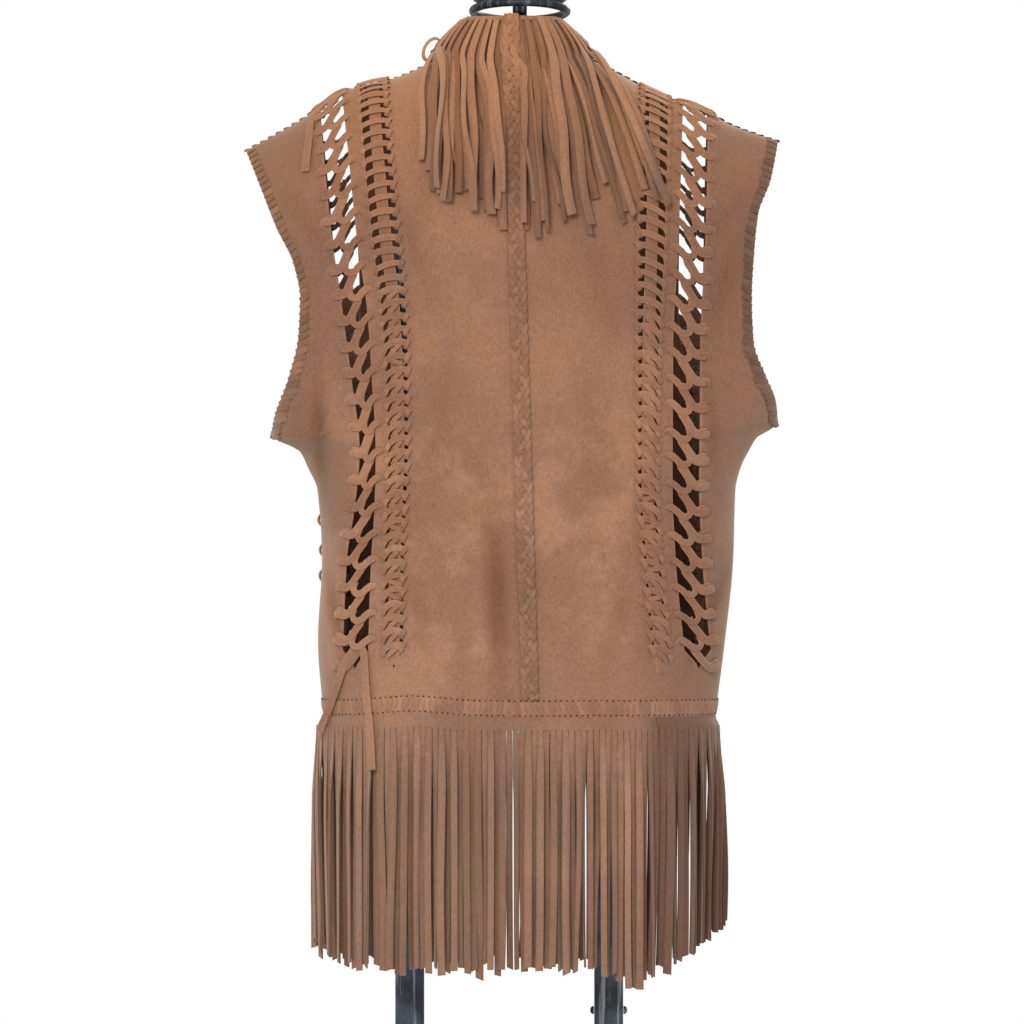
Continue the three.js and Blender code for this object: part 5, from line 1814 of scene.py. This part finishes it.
@dataclass
class Stand:
    """The iron stand: base plate, two flat posts, shoulder bar and the coiled neck."""

    shop: Workshop
    bar_radius: float = 8.0
    bar_clear: float = 1.0
    bar_reach: float = 110.0
    post_wide: float = 26.0
    post_deep: float = 14.0
    post_plus: float = 92.0
    post_minus: float = -87.0
    post_edge: tuple = (3.0, 0.8)    # radius of the corners and bevel of the edges
    weld: float = 0.9
    base_size: tuple = (380.0, 280.0)
    base_edge: tuple = (26.0, 1.8)
    base_thick: float = 10.0
    shoe_size: tuple = (60.0, 50.0)
    shoe_edge: tuple = (6.0, 1.2)
    shoe_thick: float = 6.0
    neck_shift: float = -7.0
    rod_radius: float = 3.8
    stem_radius: float = 6.5
    neck_top: float = 1212.0
    rings: tuple = ((1180, 42.0, 0.14), (1192, 39.0, -0.14))   # height, radius and tilt
    spoke_half: float = 38.0
    rivet_height: float = 281.0
    sharp: float = 35.0          # edges of the flat iron sharper than this stay sharp

    def bar_height(self, x: Array) -> Array:
        """Middle height of the shoulder bar, just under the cloth of the shoulder."""
        cloth = self.shop.cloth
        away = np.maximum(np.abs(x), cloth.neck_half + 4) * np.where(x < 0, -1.0, 1.0)
        slope = (cloth.shoulder(away + 1) - cloth.shoulder(away - 1)) / 2
        below = SUEDE + self.bar_clear + self.bar_radius
        return cloth.shoulder(away) - below * np.hypot(1, slope)

    def shoulder_bar(self) -> MeshPart:
        """The bar, bent along the shoulders, with rounded ends."""
        x = np.linspace(-self.bar_reach, self.bar_reach, 121)
        key = np.linspace(-1, 1, 19) * self.bar_reach
        z = np.interp(x, key, self.bar_height(key))
        z[2:-2] = (z[:-4] + z[1:-3] + z[2:-2] + z[3:-1] + z[4:]) / 5
        path = np.stack([x, 0 * x, z], -1)
        gap = self.bar_reach - np.abs(x)
        radius = self.bar_radius * np.sqrt(np.clip(1 - (1 - np.clip(gap / 5, 0, 1)) ** 2, 0.1, 1))
        return rod(path, radius, 24)

    def neck(self) -> MeshPart:
        """The neck: a stem, two tilted rings joined by a turn of coil, spokes and a curl."""
        foot = float(self.bar_height(np.array(self.neck_shift))) + 0.95 * self.bar_radius
        rise = np.concatenate([np.linspace(foot, self.neck_top - 3, 24),
                               self.neck_top - np.array([2, 1, 0.3, 0])])
        swell = np.concatenate([np.full(24, 1.0), np.array([0.92, 0.78, 0.5, 0.25])])
        stem = rod(np.stack([np.full(28, self.neck_shift), np.zeros(28), rise], -1),
                   self.stem_radius * swell, 20)
        angle = np.linspace(0, 2 * math.pi, 72, endpoint=False)
        parts = [stem]
        for height, radius, tilt in self.rings:
            ring = np.stack([self.neck_shift + radius * np.cos(angle),
                             radius * np.sin(angle) * math.cos(tilt),
                             height + radius * np.sin(angle) * math.sin(tilt)], -1)
            parts.append(rod(ring, self.rod_radius, 14, closed=True))
            reach = np.linspace(-1, 1, 20) * self.spoke_half
            spoke = np.stack([np.full(20, self.neck_shift), reach * math.cos(tilt),
                              height + reach * math.sin(tilt)], -1)
            parts.append(rod(spoke, self.rod_radius, 12))
        side = self.neck_shift - self.rings[0][1]
        stops, share = through([(8, 16, 1189), (1, 8, 1196), (-3, 0, 1206), (4, -2, 1214.5),
                                (13, -2, 1215.5), (14.5, -2, 1209)], 40)
        curl = np.moveaxis(stops, 0, -1) + np.array([side, 0, 0])
        curl[:, 1:-1] = smoothed(curl)[:, 1:-1]
        parts.append(rod(curl[0], self.rod_radius * np.clip((1 - share[0]) / 0.07, 0.45, 1), 12))
        return joined(parts)

    def posts(self) -> list[bpy.types.Object]:
        """The two posts with their shoes and rivets."""
        made = []
        foot = self.base_thick + SEAM
        start = foot + self.shoe_thick + SEAM
        iron = self.shop.iron
        for name, x in (("right", self.post_plus), ("left", self.post_minus)):
            ends = np.array([x - self.post_wide / 2, x + self.post_wide / 2])
            top = float(self.bar_height(ends).min()) - 1.16 * self.bar_radius - SEAM
            post = slab(self.post_wide, self.post_deep, top - start, *self.post_edge,
                        (x, 0, start), self.weld)
            shoe = slab(*self.shoe_size, self.shoe_thick, *self.shoe_edge, (x, 0, foot))
            made += [self.shop.piece(f"{node}_iron", part, iron, "iron", [node], self.sharp)
                     for node, part in ((f"post_{name}", post), (f"post_shoe_{name}", shoe))]
        return made

    def rivets(self) -> bpy.types.Object:
        """Two domed rivet heads at the sides of the left post."""
        parts = []
        for way in (1, -1):
            start = self.post_minus + way * (self.post_wide / 2 + SEAM)
            out = np.array([0, 1.2, 2.2, 2.9, 3.25, 3.4])
            radius = np.array([3.6, 3.55, 3.1, 2.3, 1.4, 0.5])
            path = np.stack([start + way * out, 0 * out, self.rivet_height + 0 * out], -1)
            parts.append(rod(path, radius, 20))
        return self.shop.piece("post_rivets", joined(parts), self.shop.iron, "iron",
                               ["post_rivet_inner", "post_rivet_outer"])

    def build(self) -> list[bpy.types.Object]:
        """Builds the stand."""
        base = slab(*self.base_size, self.base_thick, *self.base_edge, (0, 0, 0))
        return [
            self.shop.piece("base_plate_iron", base, self.shop.iron, "iron", ["base_plate"],
                            self.sharp),
            self.shop.piece("shoulder_bar_iron", self.shoulder_bar(), self.shop.iron, "iron",
                            ["shoulder_bar"]),
            self.shop.piece("neck_coil", self.neck(), self.shop.coil, "iron", ["neck_finial"]),
            *self.posts(),
            self.rivets(),
        ]


@dataclass
class Studio:
    """Floor, camera and soft light."""

    frame_size: float = 0.9216       # height of the view at the middle of the vest, in metres
    distance: float = 8.0
    eye_height: float = 0.7292
    sensor: float = 36.0
    aim: tuple = (0.0, 0.0, 0.75)    # where the lamps point
    floor_radius: float = 1.5
    floor_height: float = -0.0005    # just under the base plate
    # Name, power in watts, size and place of each lamp.
    lamps: tuple = (("key", 83, 0.9, (0.6, 3.0, 1.9)), ("fill", 6, 2.2, (-2.4, 1.6, 1.0)),
                    ("front", 46, 1.2, (-1.2, -2.6, 2.2)))

    def floor(self) -> None:
        """A pale round floor."""
        angle = np.linspace(0, 2 * math.pi, 97)[:-1]
        rings = [np.stack([r * np.cos(angle), r * np.sin(angle), self.floor_height + 0 * angle], -1)
                 for r in (self.floor_radius, 0.0)]
        quads = skin(np.arange(2 * len(angle)).reshape(2, -1))
        mesh = bpy.data.meshes.new("floor")
        mesh.from_pydata(np.concatenate(rings).tolist(), [], quads.tolist())
        mesh.materials.append(PlainFinish("floor_pale", paint(236, 236, 234),
                                          paint(230, 230, 229)).material())
        linked("floor", mesh)

    def camera(self) -> None:
        """A level camera behind the vest, with a long lens."""
        data = bpy.data.cameras.new("view")
        data.sensor_width = self.sensor
        data.lens = self.sensor * self.distance / self.frame_size
        data.clip_end = 60
        view = linked("view", data)
        view.location = (0, self.distance, self.eye_height)
        view.rotation_euler = (math.pi / 2, 0, math.pi)
        bpy.context.scene.camera = view

    def lights(self) -> None:
        """A pale surround, a wide key from above the camera and a soft fill."""
        world = bpy.data.worlds.new("surround")
        world.use_nodes = True
        background = world.node_tree.nodes["Background"]
        background.inputs["Color"].default_value = (1, 1, 1, 1)
        background.inputs["Strength"].default_value = 1.0
        bpy.context.scene.world = world
        for name, energy, size, place in self.lamps:
            data = bpy.data.lights.new(name, "AREA")
            data.energy = energy
            data.size = size
            lamp = linked(name, data)
            lamp.location = place
            away = Vector(place) - Vector(self.aim)
            lamp.rotation_euler = away.to_track_quat("Z", "Y").to_euler()
        bpy.context.scene.view_settings.view_transform = "Standard"

    def build(self) -> None:
        """Sets up the studio."""
        self.floor()
        self.camera()
        self.lights()


def main() -> None:
    """Builds the vest on its stand, piece by piece."""
    logging.basicConfig(level=logging.INFO, format="%(name)s %(message)s")
    cloth = WornCloth()
    grid = PanelGrid(cloth)
    lace = SuedeFinish("lace_suede", shade=paint(122, 85, 63), pale=paint(141, 102, 77),
                       edge=paint(168, 118, 79), edge_share=0.75, painted_left_shade=0.35,
                       painted_right_shade=0.2, tone_range=0.30)
    # Painted shadow: the fringe finish's dark edge colour stands for the shadow in the slits
    # between strands, also on the plait and the edge stitches that use it.
    strands = SuedeFinish("fringe_suede", shade=paint(120, 86, 66), dusty=paint(119, 89, 72),
                          dark=paint(82, 58, 45), warm=paint(136, 90, 58),
                          edge=paint(62, 43, 33), edge_share=0.66, painted_left_shade=0.8,
                          side_from=0.112, side_slope=55.0, tone_range=0.5)
    shop = Workshop(cloth, SuedeFinish("panel_suede", painted_left_shade=0.5, painted_right_shade=0.45,
                                       tone_range=0.66, richness=0.28).material(), lace.material(),
                    strands.material(), IronFinish("blued_iron").material(),
                    IronFinish("coil_iron", shade=paint(34, 37, 44), soot=paint(16, 17, 21),
                               bare=paint(112, 118, 126)).material(),
                    # The holes' dark brown is a painted shade inside them.
                    PlainFinish("punched_hole_painted_shade", paint(52, 32, 24), paint(70, 44, 32)).material())
    sides = [
        SidePattern("right", 1, LACING_PLUS, ARMHOLE_PLUS, "plus", 797, cloth, grid),
        SidePattern("left", -1, LACING_MINUS, ARMHOLE_MINUS, "minus", 807.5, cloth, grid),
    ]
    for seed, side in enumerate(sides):
        Panels(shop, side).build()
        WideLacing(shop, f"back_lacing_{side.name}", Face.BACK, side.sign, side.wide, side.open,
                   24, 10 + seed).build()
        WideLacing(shop, f"front_lacing_{side.name}", Face.FRONT, side.sign, side.front_wide,
                   side.open_half, 27, 20 + seed, 2.1, 0.6).build()
        NarrowBand(shop, side, 40 + seed).build()
        EdgeStitches(shop, side, 50 + 10 * seed).build()

    front_start, join = (float(cloth.section_angle(np.array(x), np.array(FRINGE_ROOT)))
                         / (math.pi / 2) for x in (cloth.front_gap, FRINGE_JOIN))
    back = HemStretch(cloth, Face.BACK, -1, 1)
    right = HemStretch(cloth, Face.FRONT, front_start, 1)
    left = HemStretch(cloth, Face.FRONT, -1, -front_start)
    hem = Hem(shop)
    for seed, (name, stretch) in enumerate((("back", back), ("front_right", right),
                                            ("front_left", left))):
        hem.band(f"hem_band_{name}", stretch, 61 + seed)
    hem.holes("hem_holes", [back, right, left])
    fringe = HemFringe(shop)
    for seed, (name, stretch, count) in enumerate((
            ("back", HemStretch(cloth, Face.BACK, join + JOIN_GAP, 1), 66),
            ("back_left", HemStretch(cloth, Face.BACK, -1, join - JOIN_GAP), 17),
            ("front_right", right, 40), ("front_left", left, 40))):
        fringe.build(f"hem_fringe_{name}", stretch, count, 71 + seed)

    collar = Collar(shop)
    collar.build()
    CentreBraid(shop).build(collar)
    LooseLaces(shop).build()
    Stand(shop).build()
    Studio().build()


if __name__ == "__main__":
    main()
